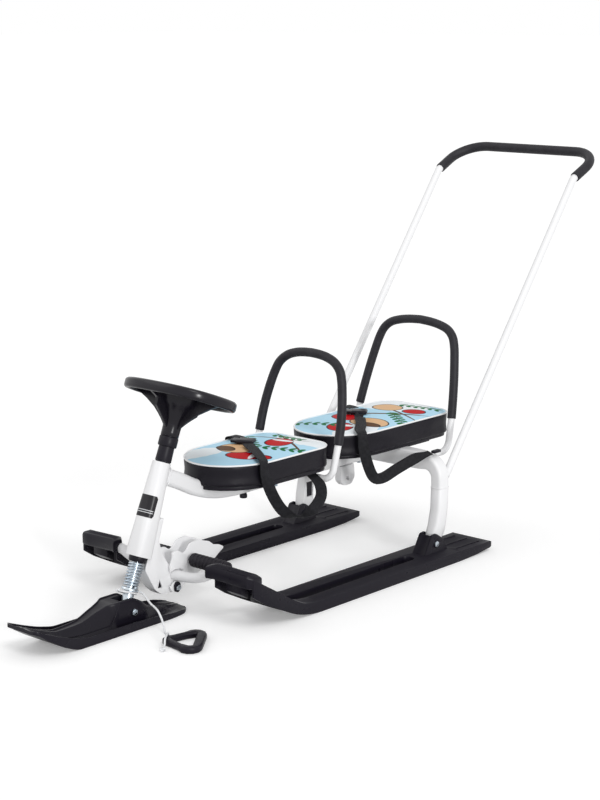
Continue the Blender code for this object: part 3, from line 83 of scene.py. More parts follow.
camera_data = bpy.data.cameras.new("studio_camera")
camera_data.lens = CAMERA_LENS
camera_data.sensor_width = 36.0
camera_data.clip_end = 200.0
camera = put_in("studio_camera", camera_data)
turn = Vector(CAMERA_AIM).to_track_quat("-Z", "Y").to_matrix().to_4x4()
camera.matrix_world = (Matrix.Translation(CAMERA_PLACE) @ turn
                       @ Matrix.Rotation(CAMERA_ROLL, 4, "Z"))
bpy.context.scene.camera = camera
bpy.context.scene.view_settings.view_transform = "Standard"

SKY_LIGHT = 0.60
KEY_LIGHT = 0.75
FILL_LIGHT = 0.35
GLINT_LIGHT = 1.00


def add_node(tree, kind, inputs=(), **settings):
    """A new node; its inputs, by name or number, get a value or are fed by a socket."""
    node = tree.nodes.new(kind)
    for setting, value in settings.items():
        setattr(node, setting, value)
    for key, value in dict(inputs).items():
        if isinstance(value, bpy.types.NodeSocket):
            tree.links.new(value, node.inputs[key])
        else:
            node.inputs[key].default_value = value
    return node


world = bpy.data.worlds.new("studio_world")
bpy.context.scene.world = world
world.use_nodes = True
tree = world.node_tree
tree.nodes.clear()
WHITE = (1.0, 1.0, 1.0, 1.0)
seen = add_node(tree, "ShaderNodeBackground", {"Color": WHITE, "Strength": 1.0})
lighting = add_node(tree, "ShaderNodeBackground", {"Color": WHITE, "Strength": SKY_LIGHT})
rays = add_node(tree, "ShaderNodeLightPath").outputs
either = add_node(tree, "ShaderNodeMath", {0: rays["Is Camera Ray"], 1: rays["Is Glossy Ray"]},
                  operation="MAXIMUM")
any_of = add_node(tree, "ShaderNodeMath", {0: either.outputs[0], 1: rays["Is Transmission Ray"]},
                  operation="MAXIMUM")
choice = add_node(tree, "ShaderNodeMixShader", {0: any_of.outputs[0], 1: lighting.outputs[0],
                                                2: seen.outputs[0]})
add_node(tree, "ShaderNodeOutputWorld", {0: choice.outputs[0]})

for name, strength, aim, spread in (("key_sun", KEY_LIGHT, (-0.75, 0.35, -1.0), 25.0),
                                    ("fill_sun", FILL_LIGHT, (0.55, 0.60, -0.75), 40.0),
                                    ("glint_sun", GLINT_LIGHT, (-0.88, 0.38, -0.23), 8.0)):
    sun = bpy.data.lights.new(name, "SUN")
    sun.energy = strength
    sun.angle = math.radians(spread)
    lamp = put_in(name, sun)
    lamp.rotation_euler = Vector(aim).to_track_quat("-Z", "Y").to_euler()

FLOOR_REACH = 60.0
FLOOR_GLOW = 0.22

floor_mesh = bpy.data.meshes.new("studio_floor")
floor_corners = [(-1, -1), (1, -1), (1, 1), (-1, 1)]
floor_mesh.from_pydata([(a * FLOOR_REACH, b * FLOOR_REACH, 0.0) for a, b in floor_corners], [],
                       [(0, 1, 2, 3)])
floor = put_in("studio_floor", floor_mesh)
floor_paint = bpy.data.materials.new("studio_floor")
floor_paint.use_nodes = True
tree = floor_paint.node_tree
tree.nodes.clear()
matt = add_node(tree, "ShaderNodeBsdfDiffuse", {"Color": (0.90, 0.90, 0.90, 1.0)})
glow = add_node(tree, "ShaderNodeEmission", {"Strength": FLOOR_GLOW})
dark = add_node(tree, "ShaderNodeEmission", {"Strength": 0.0})
rays = add_node(tree, "ShaderNodeLightPath").outputs
choice = add_node(tree, "ShaderNodeMixShader", {0: rays["Is Camera Ray"], 1: dark.outputs[0],
                                                2: glow.outputs[0]})
both = add_node(tree, "ShaderNodeAddShader", {0: matt.outputs[0], 1: choice.outputs[0]})
add_node(tree, "ShaderNodeOutputMaterial", {0: both.outputs[0]})
floor_mesh.materials.append(floor_paint)


# The tow cord is a braided white rope, tied round the strut under the spring.
# It arches over the front ski to the floor, passes over the hand grip's tip and ends
# in a knot.

DATUM = 0.3324


def at(station, left, height):
    """A place from its station ahead of the datum, its distance to the left and height."""
    return Vector((left, -station - DATUM, height))


def smooth_path(points, spacing):
    """A smooth curve through the points, sampled about every spacing."""
    points = [Vector(point) for point in points]
    padded = [2 * points[0] - points[1]] + points + [2 * points[-1] - points[-2]]
    result = [points[0]]
    for i in range(1, len(padded) - 2):
        a, b, c, d = padded[i - 1:i + 3]
        steps = max(1, round((c - b).length / spacing))
        for k in range(1, steps + 1):
            t = k / steps
            result.append(0.5 * (2 * b + (c - a) * t
                                 + (2 * a - 5 * b + 4 * c - d) * t * t
                                 + (3 * b - a - 3 * c + d) * t ** 3))
    return result


def carried_frames(path, closed=False):
    """Place and two cross directions along a path, turned as little as possible."""
    count = len(path)
    tangents = []
    for i in range(count):
        if closed:
            tangents.append((path[(i + 1) % count] - path[i - 1]).normalized())
        else:
            tangents.append((path[min(i + 1, count - 1)] - path[max(i - 1, 0)]).normalized())
    hint = Vector((0.0, 0.0, 1.0)) if abs(tangents[0].z) < 0.9 else Vector((1.0, 0.0, 0.0))
    across = (hint - tangents[0] * hint.dot(tangents[0])).normalized()
    frames = []
    for point, tangent in zip(path, tangents):
        across = (across - tangent * across.dot(tangent)).normalized()
        frames.append((point, across, tangent.cross(across)))
    return frames


def skin(bm, rings, closed=False):
    """Join equal rings of points into a skin, with flat ends if it isn't closed on itself."""
    layers = [[bm.verts.new(point) for point in ring] for ring in rings]
    pairs = list(zip(layers, layers[1:]))
    if closed:
        pairs.append((layers[-1], layers[0]))
    for near, far in pairs:
        for i in range(len(near)):
            j = (i + 1) % len(near)
            bm.faces.new((near[i], near[j], far[j], far[i]))
    if not closed:
        bm.faces.new(list(reversed(layers[0])))
        bm.faces.new(layers[-1])


def circle(radius, sides):
    """A circle's points as pairs."""
    return [(radius * math.cos(2 * math.pi * i / sides), radius * math.sin(2 * math.pi * i / sides))
            for i in range(sides)]


def ring_on(frame_here, outline):
    """An outline of pairs laid square to a path at one of its frames."""
    place, across, up = frame_here
    return [place + across * a + up * b for a, b in outline]


def round_ring(frame_here, radius, sides):
    """A circle laid square to a path at one of its frames."""
    return ring_on(frame_here, circle(radius, sides))


def settle(name, bm, material, body, replaces=(), slot=None, sharp=35.0):
    """Finish a mesh as a piece: outward faces, smooth shading and its body; slot is not used."""
    bmesh.ops.remove_doubles(bm, verts=bm.verts, dist=2e-6)
    bmesh.ops.recalc_face_normals(bm, faces=bm.faces)
    mesh = bpy.data.meshes.new(name)
    bm.to_mesh(mesh)
    bm.free()
    mesh.shade_smooth()
    mesh.set_sharp_from_angle(angle=math.radians(sharp))
    mesh.materials.append(material)
    piece = put_in(name, mesh)
    if replaces:
        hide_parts(*replaces)
    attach(piece, body)
    return piece


def lofted(name, rings, material, body, closed=False, **words):
    """A piece skinned over equal rings of points."""
    bm = bmesh.new()
    skin(bm, rings, closed)
    return settle(name, bm, material, body, **words)


def pipe(name, path, radius, material, body, sides=24, closed=False, soften=0.0, **words):
    """A round bar along a path; soften rounds off the rims of its ends."""
    frames = carried_frames(path, closed)
    rings = [round_ring(item, radius, sides) for item in frames]
    if soften > 0.0 and not closed:
        for end, step in ((0, 1), (-1, -1)):
            place, across, up = frames[end]
            inward = (frames[end + step][0] - place).normalized()
            rings[end] = round_ring((place + inward * soften, across, up), radius, sides)
            rim = round_ring(frames[end], radius - soften, sides)
            if end == 0:
                rings.insert(0, rim)
            else:
                rings.append(rim)
    return lofted(name, rings, material, body, closed, **words)


def finish_of(name, colour, roughness, metallic=0.0, specular=0.5):
    """A new material with its plain values set on the shader's own sockets."""
    material = bpy.data.materials.new(name)
    material.use_nodes = True
    shader = material.node_tree.nodes["Principled BSDF"]
    shader.inputs["Base Color"].default_value = (*colour, 1.0)
    shader.inputs["Roughness"].default_value = roughness
    shader.inputs["Metallic"].default_value = metallic
    shader.inputs["Specular IOR Level"].default_value = specular
    return material


def object_noise(material, scale, detail=3.0, stretch=(1.0, 1.0, 1.0)):
    """A noise texture on Object coordinates, stretched by a mapping."""
    tree = material.node_tree
    where = add_node(tree, "ShaderNodeTexCoord").outputs["Object"]
    mapping = add_node(tree, "ShaderNodeMapping", {"Vector": where, "Scale": stretch})
    return add_node(tree, "ShaderNodeTexNoise", {"Vector": mapping.outputs["Vector"],
                                                 "Scale": scale, "Detail": detail}).outputs["Fac"]


def bump_with(material, height, strength, distance):
    """Drive the shader's normal by a height, on top of any bump already there."""
    tree = material.node_tree
    normal = tree.nodes["Principled BSDF"].inputs["Normal"]
    inputs = {"Strength": strength, "Distance": distance, "Height": height}
    if normal.is_linked:
        inputs["Normal"] = normal.links[0].from_socket
    tree.links.new(add_node(tree, "ShaderNodeBump", inputs).outputs["Normal"], normal)


def spread_between(material, height, socket, low, high):
    """Let a texture move one of the shader's values between two limits."""
    tree = material.node_tree
    span = add_node(tree, "ShaderNodeMapRange", {"Value": height, "From Min": 0.3,
                                                 "From Max": 0.7, "To Min": low, "To Max": high})
    tree.links.new(span.outputs["Result"], tree.nodes["Principled BSDF"].inputs[socket])


def tint_between(material, height, dark, light):
    """Let a texture move the base colour between two colours."""
    tree = material.node_tree
    ramp = add_node(tree, "ShaderNodeValToRGB", {"Fac": height})
    for stop, position, colour in zip(ramp.color_ramp.elements, (0.35, 0.65), (dark, light)):
        stop.position = position
        stop.color = (*colour, 1.0)
    tree.links.new(ramp.outputs["Color"], tree.nodes["Principled BSDF"].inputs["Base Color"])


def along_map(piece, rings, sides, length, girth):
    """Give a pipe a UV map in metres: across it runs round the pipe, up it runs along."""
    layer = piece.data.uv_layers.new(name="along")
    for face in piece.data.polygons:
        spots = [piece.data.loops[i].vertex_index for i in face.loop_indices]
        around = [spot % sides for spot in spots]
        wraps = max(around) - min(around) > 1
        for loop_index, spot in zip(face.loop_indices, spots):
            u = spot % sides
            if wraps and u == 0:
                u = sides
            layer.data[loop_index].uv = (girth * u / sides,
                                         length * min(spot // sides, rings - 1) / (rings - 1))


def waves_along(material, turns_and_scales, operation):
    """Straight waves on the piece's own UV map, turned and scaled, put together as a height."""
    tree = material.node_tree
    where = add_node(tree, "ShaderNodeUVMap", uv_map="along").outputs["UV"]
    waves = []
    for turn_by, scale in turns_and_scales:
        mapping = add_node(tree, "ShaderNodeMapping",
                           {"Vector": where, "Rotation": (0.0, 0.0, math.radians(turn_by))})
        waves.append(add_node(tree, "ShaderNodeTexWave", {"Vector": mapping.outputs["Vector"],
                                                          "Scale": scale}).outputs["Fac"])
    return add_node(tree, "ShaderNodeMath", dict(enumerate(waves)), operation=operation).outputs[0]


CORD_RADIUS = 0.0022
CORD_SIDES = 14
CORD_ROUTE = [at(0.2168, 0.0158, 0.0636), at(0.2168, 0.0240, 0.0632),
              at(0.2195, 0.0380, 0.0568), at(0.2230, 0.0540, 0.0490),
              at(0.2265, 0.0700, 0.0450), at(0.2310, 0.0850, 0.0405),
              at(0.2325, 0.0960, 0.0280), at(0.2330, 0.1030, 0.0130),
              at(0.2370, 0.1100, 0.0036), at(0.2440, 0.1225, 0.0026),
              at(0.2525, 0.1370, 0.0028), at(0.2589, 0.1430, 0.0068),
              at(0.2625, 0.1461, 0.0136), at(0.2668, 0.1492, 0.0178),
              at(0.2787, 0.1577, 0.0186), at(0.2908, 0.1664, 0.0178),
              at(0.2951, 0.1695, 0.0136), at(0.2987, 0.1724, 0.0068),
              at(0.3045, 0.1762, 0.0028), at(0.3115, 0.1809, 0.0026)]

BRAID_PITCH = 0.0016

rope = finish_of("braided_rope", (0.84, 0.85, 0.87), 0.8, specular=0.3)
braid = waves_along(rope, ((48.0, 0.5 / BRAID_PITCH), (-48.0, 0.5 / BRAID_PITCH)), "MAXIMUM")
bump_with(rope, braid, 0.8, 0.0003)
tint_between(rope, object_noise(rope, 240.0), (0.78, 0.79, 0.81), (0.88, 0.89, 0.91))

cord_path = smooth_path(CORD_ROUTE, 0.0036)
cord_length = sum((b - a).length for a, b in zip(cord_path, cord_path[1:]))


def rope_piece(name, path, radius, body, sides, length, girth, **words):
    """A piece of rope along a path, with the UV map that its braid follows."""
    piece = pipe(name, path, radius, rope, body, sides=sides, slot="white_cord", **words)
    along_map(piece, len(path), sides, length, girth)
    return piece


tow_cord = rope_piece("tow_rope", cord_path, CORD_RADIUS, "chassis", CORD_SIDES,
                      length=cord_length, girth=2 * math.pi * CORD_RADIUS,
                      replaces=("tow_cord",))


def knot_path(centre, size, heading, count):
    """An overhand knot pulled tight, as one closed line."""
    along = heading.normalized()
    side = along.cross(Vector((0.0, 0.0, 1.0))).normalized()
    lift = side.cross(along)
    path = []
    for i in range(count):
        angle = 2.0 * math.pi * i / count
        path.append(centre + along * (size * (math.sin(angle) + 1.6 * math.sin(2.0 * angle)) / 2.6)
                    + side * (size * (math.cos(angle) - 1.6 * math.cos(2.0 * angle)) / 2.6)
                    + lift * (-0.45 * size * math.sin(3.0 * angle)))
    return path


end_heading = cord_path[-1] - cord_path[-2]
knot_centre = (cord_path[-1] + end_heading.normalized() * 0.004
               + Vector((0.0, 0.0, CORD_RADIUS)))
end_knot = rope_piece("tow_rope_knot", knot_path(knot_centre, 0.0052, end_heading, count=36),
                      CORD_RADIUS * 0.9, "chassis", 12, length=0.07, girth=0.013, closed=True)

RAKE = math.radians(21.8)
SKI_BOLT = (0.245, 0.030)
STEER = (Matrix.Translation(at(SKI_BOLT[0], 0.0, SKI_BOLT[1]))
         @ Matrix.Rotation(-RAKE, 4, "X"))


def on_axis(left, ahead, place):
    """A point by its two offsets from the steering axis and its place along it."""
    return STEER @ Vector((left, ahead, place))


RING_POINTS = 48
ring = []
for i in range(RING_POINTS):
    angle = 2.0 * math.pi * i / RING_POINTS
    ring.append(on_axis(0.0165 * math.cos(angle), -0.0040 + 0.0205 * math.sin(angle),
                        0.0345 + 0.0020 * math.cos(angle)))
rope_piece("rope_ring", ring, 0.0020, "strut", 12, length=0.117, girth=0.0126, closed=True,
           replaces=("cord_loop",))
ring_knot_path = knot_path(on_axis(-0.0070, -0.0250, 0.0350), 0.0042, Vector((1.0, 0.3, 0.2)),
                           count=30)
rope_piece("rope_ring_knot", ring_knot_path, 0.0017, "strut", 10, length=0.05, girth=0.011,
           closed=True)


# The tow handle is a triangular grip moulded in black plastic, flat on the floor.
# Its wide side takes the hand, and a groove round it follows the mould's parting line.

plastic = finish_of("moulded_plastic", (0.0082, 0.0070, 0.0120), 0.32, specular=0.22)
bump_with(plastic, object_noise(plastic, 620.0, 2.0), 0.12, 0.0004)
spread_between(plastic, object_noise(plastic, 14.0), "Roughness", 0.30, 0.44)


def fillet(points, radii, steps=5, closed=False):
    """A path with round corners; radii holds one radius for each point."""
    count = len(points)
    result = []
    for i, point in enumerate(points):
        inner = closed or 0 < i < count - 1
        radius = radii[i] if inner else 0.0
        if radius <= 0.0:
            result.append(Vector(point))
            continue
        here = Vector(point)
        back = (Vector(points[i - 1]) - here).normalized()
        ahead = (Vector(points[(i + 1) % count]) - here).normalized()
        half = back.angle(ahead) / 2.0
        reach = radius / math.tan(half)
        centre = here + (back + ahead).normalized() * (radius / math.sin(half))
        start = here + back * reach - centre
        end = here + ahead * reach - centre
        sweep = start.angle(end)
        for k in range(steps + 1):
            share = k / steps
            result.append(centre + (start * math.sin((1.0 - share) * sweep)
                                    + end * math.sin(share * sweep)) / math.sin(sweep))
    return result


def rounded_box(half_a, half_b, radius, steps=4):
    """The outline of a rectangle with round corners."""
    points = []
    for corner, (sign_a, sign_b) in enumerate(((1, 1), (-1, 1), (-1, -1), (1, -1))):
        for i in range(steps + 1):
            angle = math.pi / 2.0 * (corner + i / steps)
            points.append((sign_a * (half_a - radius) + radius * math.cos(angle),
                           sign_b * (half_b - radius) + radius * math.sin(angle)))
    return points


GRIP_RISE = 0.0072
spine = fillet([at(0.2810, 0.1545, GRIP_RISE), at(0.1870, 0.1720, GRIP_RISE),
                at(0.2945, 0.2535, GRIP_RISE)], [0.010, 0.013, 0.015], 4, closed=True)
at_tip, at_rear, at_front = spine[:5], spine[5:10], spine[10:]
legs = [at_tip[-1].lerp(at_rear[0], share) for share in (0.25, 0.50, 0.75)]
back_legs = [at_front[-1].lerp(at_tip[0], share) for share in (0.25, 0.50, 0.75)]
sides_of_grip = [at_rear[-1].lerp(at_front[0], share) for share in (0.12, 0.3, 0.5, 0.7, 0.88)]
route = [(point, 0.0092) for point in at_tip] + [(point, 0.0071) for point in legs]
route += [(point, 0.0100) for point in at_rear] + [(point, 0.0103) for point in sides_of_grip]
route += [(point, 0.0100) for point in at_front] + [(point, 0.0071) for point in back_legs]
rings = []
for i, (point, half) in enumerate(route):
    tangent = route[(i + 1) % len(route)][0] - route[i - 1][0]
    across = Vector((-tangent.y, tangent.x, 0.0)).normalized()
    outline = rounded_box(half, GRIP_RISE, 0.0056, 5)
    rings.append([point + across * (a * (1.0 - 0.045 * math.exp(-(b / 0.0008) ** 2)))
                  + Vector((0.0, 0.0, b)) for a, b in outline])
hand_grip = lofted("tow_grip", rings, plastic, "chassis", closed=True,
                   replaces=("tow_handle",), slot="black_plastic")


# The sled's frame is welded steel, powder-coated gloss white: a head tube, a bent
# backbone, a gusset, a bowed front traverse, an arch over the rear legs and a lug.

white_coat = finish_of("white_powder_coat", (0.82, 0.82, 0.83), 0.34, specular=0.40)
bump_with(white_coat, object_noise(white_coat, 520.0, 2.0), 0.10, 0.0005)
spread_between(white_coat, object_noise(white_coat, 9.0), "Roughness", 0.28, 0.42)


def applied_mesh(thing):
    """The object's mesh with its modifiers applied, as a new mesh."""
    return bpy.data.meshes.new_from_object(
        thing.evaluated_get(bpy.context.evaluated_depsgraph_get()))


def refined(node, name, material, body, width=0.0012, segments=3, angle=30.0,
            flatten=1.0, reshape=None):
    """A copy of a CAD node with its flat faces rejoined and its edges rounded off."""
    bm = bmesh.new()
    bm.from_mesh(frame["nodes"][node].data)
    bmesh.ops.remove_doubles(bm, verts=bm.verts, dist=2e-6)
    if reshape:
        reshape(bm)
    bmesh.ops.dissolve_limit(bm, angle_limit=math.radians(flatten), verts=bm.verts,
                             edges=bm.edges)
    mesh = bpy.data.meshes.new(name)
    bm.to_mesh(mesh)
    bm.free()
    piece = put_in(name, mesh)
    rounding = piece.modifiers.new("rounding", "BEVEL")
    rounding.width = width
    rounding.segments = segments
    rounding.limit_method = "ANGLE"
    rounding.angle_limit = math.radians(angle)
    rounding.use_clamp_overlap = True
    rounding.miter_outer = "MITER_ARC"
    made = applied_mesh(piece)
    bpy.data.objects.remove(piece, do_unlink=True)
    made.name = name
    made.materials.clear()
    made.materials.append(material)
    made.shade_smooth()
    made.set_sharp_from_angle(angle=math.radians(40.0))
    piece = put_in(name, made)
    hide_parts(node)
    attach(piece, body)
    return piece


for node, name, width, angle in (("head_tube", "head_tube_shell", 0.0009, 50.0),
                                 ("front_bracket", "head_gusset", 0.0016, 40.0),
                                 ("rear_lug", "backbone_lug", 0.0015, 40.0)):
    refined(node, name, white_coat, "chassis", width,
            2 if node == "head_tube" else 3, angle)
for word in ("left", "right"):
    refined("rear_leg_" + word, "leg_casting_" + word, white_coat, "chassis",
            0.0008, 2, 50.0)
    # The black plastic liner in each leg's open channel is painted shade: a dark piece for the
    # shade inside the channel.
    refined("leg_liner_" + word, "leg_shade_insert_" + word, plastic, "chassis",
            0.0003, 1, 50.0)

backbone_line = smooth_path([at(0.150, 0, 0.3005), at(0.085, 0, 0.2725), at(0.037, 0, 0.2490),
                             at(-0.018, 0, 0.2320), at(-0.075, 0, 0.2255),
                             at(-0.140, 0, 0.225)], 0.010) + [at(-0.5321, 0, 0.225)]
HEAD_BACK = 0.0225


def mirrored(points):
    """The points' mirror images on the other side of the sled, in the opposite order."""
    return [Vector((-p.x, p.y, p.z)) for p in reversed(points)]


def beside(path, side):
    """Place and two cross directions along a path that keeps one steady side."""
    frames = []
    for i, point in enumerate(path):
        tangent = (path[min(i + 1, len(path) - 1)] - path[max(i - 1, 0)]).normalized()
        across = (side - tangent * side.dot(tangent)).normalized()
        frames.append((point, across, tangent.cross(across)))
    return frames


outline = rounded_box(0.012, 0.018, 0.0100, 6)
start_at = 0
for i, point in enumerate(backbone_line):
    depth = (STEER.inverted() @ point).y
    if depth < HEAD_BACK - 0.004:
        start_at = i
rings = [ring_on(item, outline) for item in beside(backbone_line[start_at:], Vector((1, 0, 0)))]
lofted("backbone_tube", rings, white_coat, "chassis", replaces=("backbone",), slot="white_paint")

TRAVERSE_RADIUS = 0.011
half = [at(0.115, 0.0, 0.0775), at(0.115, 0.030, 0.0775), at(0.116, 0.070, 0.0815),
        at(0.119, 0.105, 0.092), at(0.123, 0.132, 0.1055), at(0.1245, 0.160, 0.1120)]
left_half = smooth_path(half[:-1], 0.007) + half[-1:]
pipe("traverse_tube", mirrored(left_half[1:]) + left_half, TRAVERSE_RADIUS, white_coat,
     "chassis", sides=28, replaces=("front_traverse",), slot="white_paint")

ARCH_STATION = -0.550
ARCH_HEIGHT = 0.226
LEG_SIDE = 0.203
arch_route = fillet([at(ARCH_STATION - 0.0005, LEG_SIDE, 0.1703),
                     at(ARCH_STATION, LEG_SIDE, ARCH_HEIGHT),
                     at(ARCH_STATION, 0.0, ARCH_HEIGHT)], [0, 0.036, 0], 12)
arch_route.insert(-1, at(ARCH_STATION, 0.150, ARCH_HEIGHT))
arch_route.insert(-1, at(ARCH_STATION, 0.110, ARCH_HEIGHT))
arch_route += mirrored(arch_route[:-1])
rings = []
for item in beside(arch_route, Vector((0.0, 1.0, 0.0))):
    share = min(1.0, max(0.0, (LEG_SIDE - abs(item[0].x)) / 0.06))
    rings.append(ring_on(item, rounded_box(0.0175, 0.0150 + 0.0060 * share, 0.0072, 6)))
lofted("rear_arch_tube", rings, white_coat, "chassis", replaces=("rear_arch",),
       slot="white_paint")


# Weld beads run round the joints of the backbone, head tube and arch.
# Each is a line of small overlapping puddles laid by hand and coated with the frame.


def weld(name, loop, bead):
    """A bead along a closed line, made by a node tree that lays puddles end to end."""
    curve = bpy.data.curves.new(name + "_line", "CURVE")
    curve.dimensions = "3D"
    spline = curve.splines.new("POLY")
    spline.points.add(len(loop) - 1)
    for spot, point in zip(spline.points, loop):
        spot.co = (*point, 1.0)
    spline.use_cyclic_u = True
    line = put_in(name + "_line", curve)
    group = bpy.data.node_groups.new(name + "_puddles", "GeometryNodeTree")
    new_socket = group.interface.new_socket
    new_socket("Line", in_out="INPUT", socket_type="NodeSocketGeometry")
    spacing = new_socket("Puddle spacing", in_out="INPUT", socket_type="NodeSocketFloat")
    width = new_socket("Bead radius", in_out="INPUT", socket_type="NodeSocketFloat")
    new_socket("Bead", in_out="OUTPUT", socket_type="NodeSocketGeometry")
    given = group.nodes.new("NodeGroupInput").outputs
    sample = add_node(group, "GeometryNodeResampleCurve",
                      {"Curve": given["Line"], "Length": given["Puddle spacing"]}, mode="LENGTH")
    puddle = add_node(group, "GeometryNodeMeshUVSphere",
                      {"Segments": 10, "Rings": 6, "Radius": given["Bead radius"]})
    vary = add_node(group, "FunctionNodeRandomValue", {2: 0.85, 3: 1.15, "Seed": 7},
                    data_type="FLOAT")
    laid = add_node(group, "GeometryNodeInstanceOnPoints",
                    {"Points": sample.outputs["Curve"], "Instance": puddle.outputs["Mesh"],
                     "Scale": vary.outputs[1]})
    real = add_node(group, "GeometryNodeRealizeInstances", {"Geometry": laid.outputs["Instances"]})
    coat = add_node(group, "GeometryNodeSetMaterial",
                    {"Geometry": real.outputs["Geometry"], "Material": white_coat})
    add_node(group, "NodeGroupOutput", {"Bead": coat.outputs["Geometry"]})
    builder = line.modifiers.new("puddles", "NODES")
    builder.node_group = group
    builder[spacing.identifier] = bead * 0.9
    builder[width.identifier] = bead
    made = applied_mesh(line)
    bpy.data.objects.remove(line, do_unlink=True)
    made.name = name
    if not made.materials:
        made.materials.append(white_coat)
    made.shade_smooth()
    piece = put_in(name, made)
    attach(piece, "chassis")
    return piece


weld("head_weld", [on_axis(a, HEAD_BACK - 0.0030, 0.2860 + b)
                   for a, b in rounded_box(0.0128, 0.0205, 0.0105, 6)], 0.0016)
weld("arch_weld", [at(-0.5315, a, 0.225 + b) for a, b in rounded_box(0.0125, 0.0185, 0.0102, 6)],
     0.0015)
for sign, word in ((1, "left"), (-1, "right")):
    weld("leg_weld_" + word, [at(-0.5505 + a, sign * LEG_SIDE + b, 0.1702)
                              for a, b in rounded_box(0.0178, 0.0152, 0.0068, 5)], 0.0011)


# A plain charcoal panel with two thin light lines is stuck round the front of the
# head tube: vinyl film, a third of a millimetre thick, with round corners.

film = finish_of("charcoal_film", (0.012, 0.011, 0.014), 0.32, specular=0.3)
pale_film = finish_of("pale_film", (0.60, 0.61, 0.63), 0.35, specular=0.5)


def head_outline(place, grow, steps=6):
    """The head tube's outline at a place along the steering axis."""
    stations = ((0.112, 0.0235, 0.0225, 0.011), (0.150, 0.0230, 0.0220, 0.012),
                (0.200, 0.0215, 0.0210, 0.014), (0.260, 0.0200, 0.0200, 0.017),
                (0.312, 0.0192, 0.0192, 0.0188))
    for low, high in zip(stations, stations[1:]):
        if place <= high[0]:
            share = (place - low[0]) / (high[0] - low[0])
            half_a, half_b, radius = (low[k] + (high[k] - low[k]) * share for k in (1, 2, 3))
            break
    shift = -0.003 * (place - 0.112) / 0.2
    return [(a, b + shift) for a, b in rounded_box(half_a + grow, half_b + grow, radius, steps)]


def film_panel(name, low, high, first_point, last_point, grow, corner, material):
    """A strip of film round the front of the head tube between two places."""
    rows = 10
    count = last_point - first_point
    outer, inner = [], []
    for k in range(rows + 1):
        share = k / rows
        place = low + (high - low) * share
        from_end = min(place - low, high - place)
        for layer, skin_grow in ((outer, grow), (inner, 0.00005)):
            outline = head_outline(place, skin_grow)
            line = [Vector((*outline[i], place)) for i in range(first_point, last_point + 1)]
            if from_end < corner:
                pull = corner - math.sqrt(max(0.0, corner ** 2 - (corner - from_end) ** 2))
                line[0] = line[0].lerp(line[1], min(0.95, pull / (line[1] - line[0]).length))
                line[-1] = line[-1].lerp(line[-2], min(0.95, pull
                                                       / (line[-2] - line[-1]).length))
            layer.append([STEER @ point for point in line])
    bm = bmesh.new()
    front = [[bm.verts.new(p) for p in row] for row in outer]
    rear = [[bm.verts.new(p) for p in row] for row in inner]
    for k in range(rows):
        for i in range(count):
            bm.faces.new((front[k][i], front[k][i + 1], front[k + 1][i + 1], front[k + 1][i]))
            bm.faces.new((rear[k][i], rear[k + 1][i], rear[k + 1][i + 1], rear[k][i + 1]))
    for k in range(rows):
        bm.faces.new((front[k][0], front[k + 1][0], rear[k + 1][0], rear[k][0]))
        bm.faces.new((front[k][-1], rear[k][-1], rear[k + 1][-1], front[k + 1][-1]))
    for i in range(count):
        bm.faces.new((front[0][i], rear[0][i], rear[0][i + 1], front[0][i + 1]))
        bm.faces.new((front[-1][i], front[-1][i + 1], rear[-1][i + 1], rear[-1][i]))
    return settle(name, bm, material, "chassis", slot="black_plastic")


# The outline has 28 points; those from 14 to 27 run round its front half.
film_panel("head_panel", 0.1940, 0.2400, 14, 27, 0.00045, 0.0045, film)
for place in (0.2030, 0.2075):
    film_panel("head_line_%03d" % round(place * 10000), place, place + 0.0016, 15, 26, 0.00070,
               0.0004, pale_film)


# A black plastic plug fills the drop-shaped window in the gusset. It is painted shade:
# a dark piece for the shade seen through the window. It stands a little proud of the steel on
# either side.

drop = fillet([Vector((0.1502, 0.0572, 0)), Vector((0.1618, 0.0588, 0)),
               Vector((0.1578, 0.0742, 0))], [0.0022, 0.0022, 0.0022], 4, closed=True)
middle = Vector((0.1566, 0.0634, 0))
drop_rows = []
for left, shrink in ((-0.0128, 0.0010), (-0.0121, 0.0), (0.0121, 0.0), (0.0128, 0.0010)):
    smaller = [p + (middle - p).normalized() * shrink for p in drop]
    drop_rows.append([at(p.x, left, p.y) for p in smaller])
lofted("gusset_shade_plug", drop_rows, plastic, "chassis", slot="black_plastic")


# Each side ski is one black injection moulding: a raised front with a foot rest bar,
# two rails with a slot between, and a ribbed tail with a clevis for the leg.

def glossy_plastic(name, specular):
    """Smooth black plastic of the skis, with a faint waviness and an uneven gloss."""
    material = finish_of(name, (0.0088, 0.0075, 0.0128), 0.22, specular=specular)
    bump_with(material, object_noise(material, 480.0, 2.0), 0.07, 0.0004)
    spread_between(material, object_noise(material, 11.0), "Roughness", 0.22, 0.36)
    return material


def grain_deck(material, rough):
    """Faces that look upward are grained against slipping: rough, where the sides are smooth."""
    tree = material.node_tree
    roughness = tree.nodes["Principled BSDF"].inputs["Roughness"]
    looks = add_node(tree, "ShaderNodeTexCoord").outputs["Normal"]
    parts_of = add_node(tree, "ShaderNodeSeparateXYZ", {"Vector": looks})
    upward = add_node(tree, "ShaderNodeMapRange", {"Value": parts_of.outputs["Z"],
                                                   "From Min": 0.95, "From Max": 0.995})
    choice = add_node(tree, "ShaderNodeMix", {"Factor": upward.outputs["Result"], "B": rough,
                                              "A": roughness.links[0].from_socket})
    tree.links.new(choice.outputs["Result"], roughness)


runner_plastic = glossy_plastic("runner_plastic", 0.17)
grain_deck(runner_plastic, 0.80)
RAMP_FOOT = -0.030
RAMP_SLOPE = 0.42
RAMP_SOFTENED = 0.056
TAIL_START = -0.600
TAIL_END = -0.674
TAIL_MIDDLE = 0.0192
TAIL_DEEPER = 0.62
TAIL_HIGHER = 0.0016


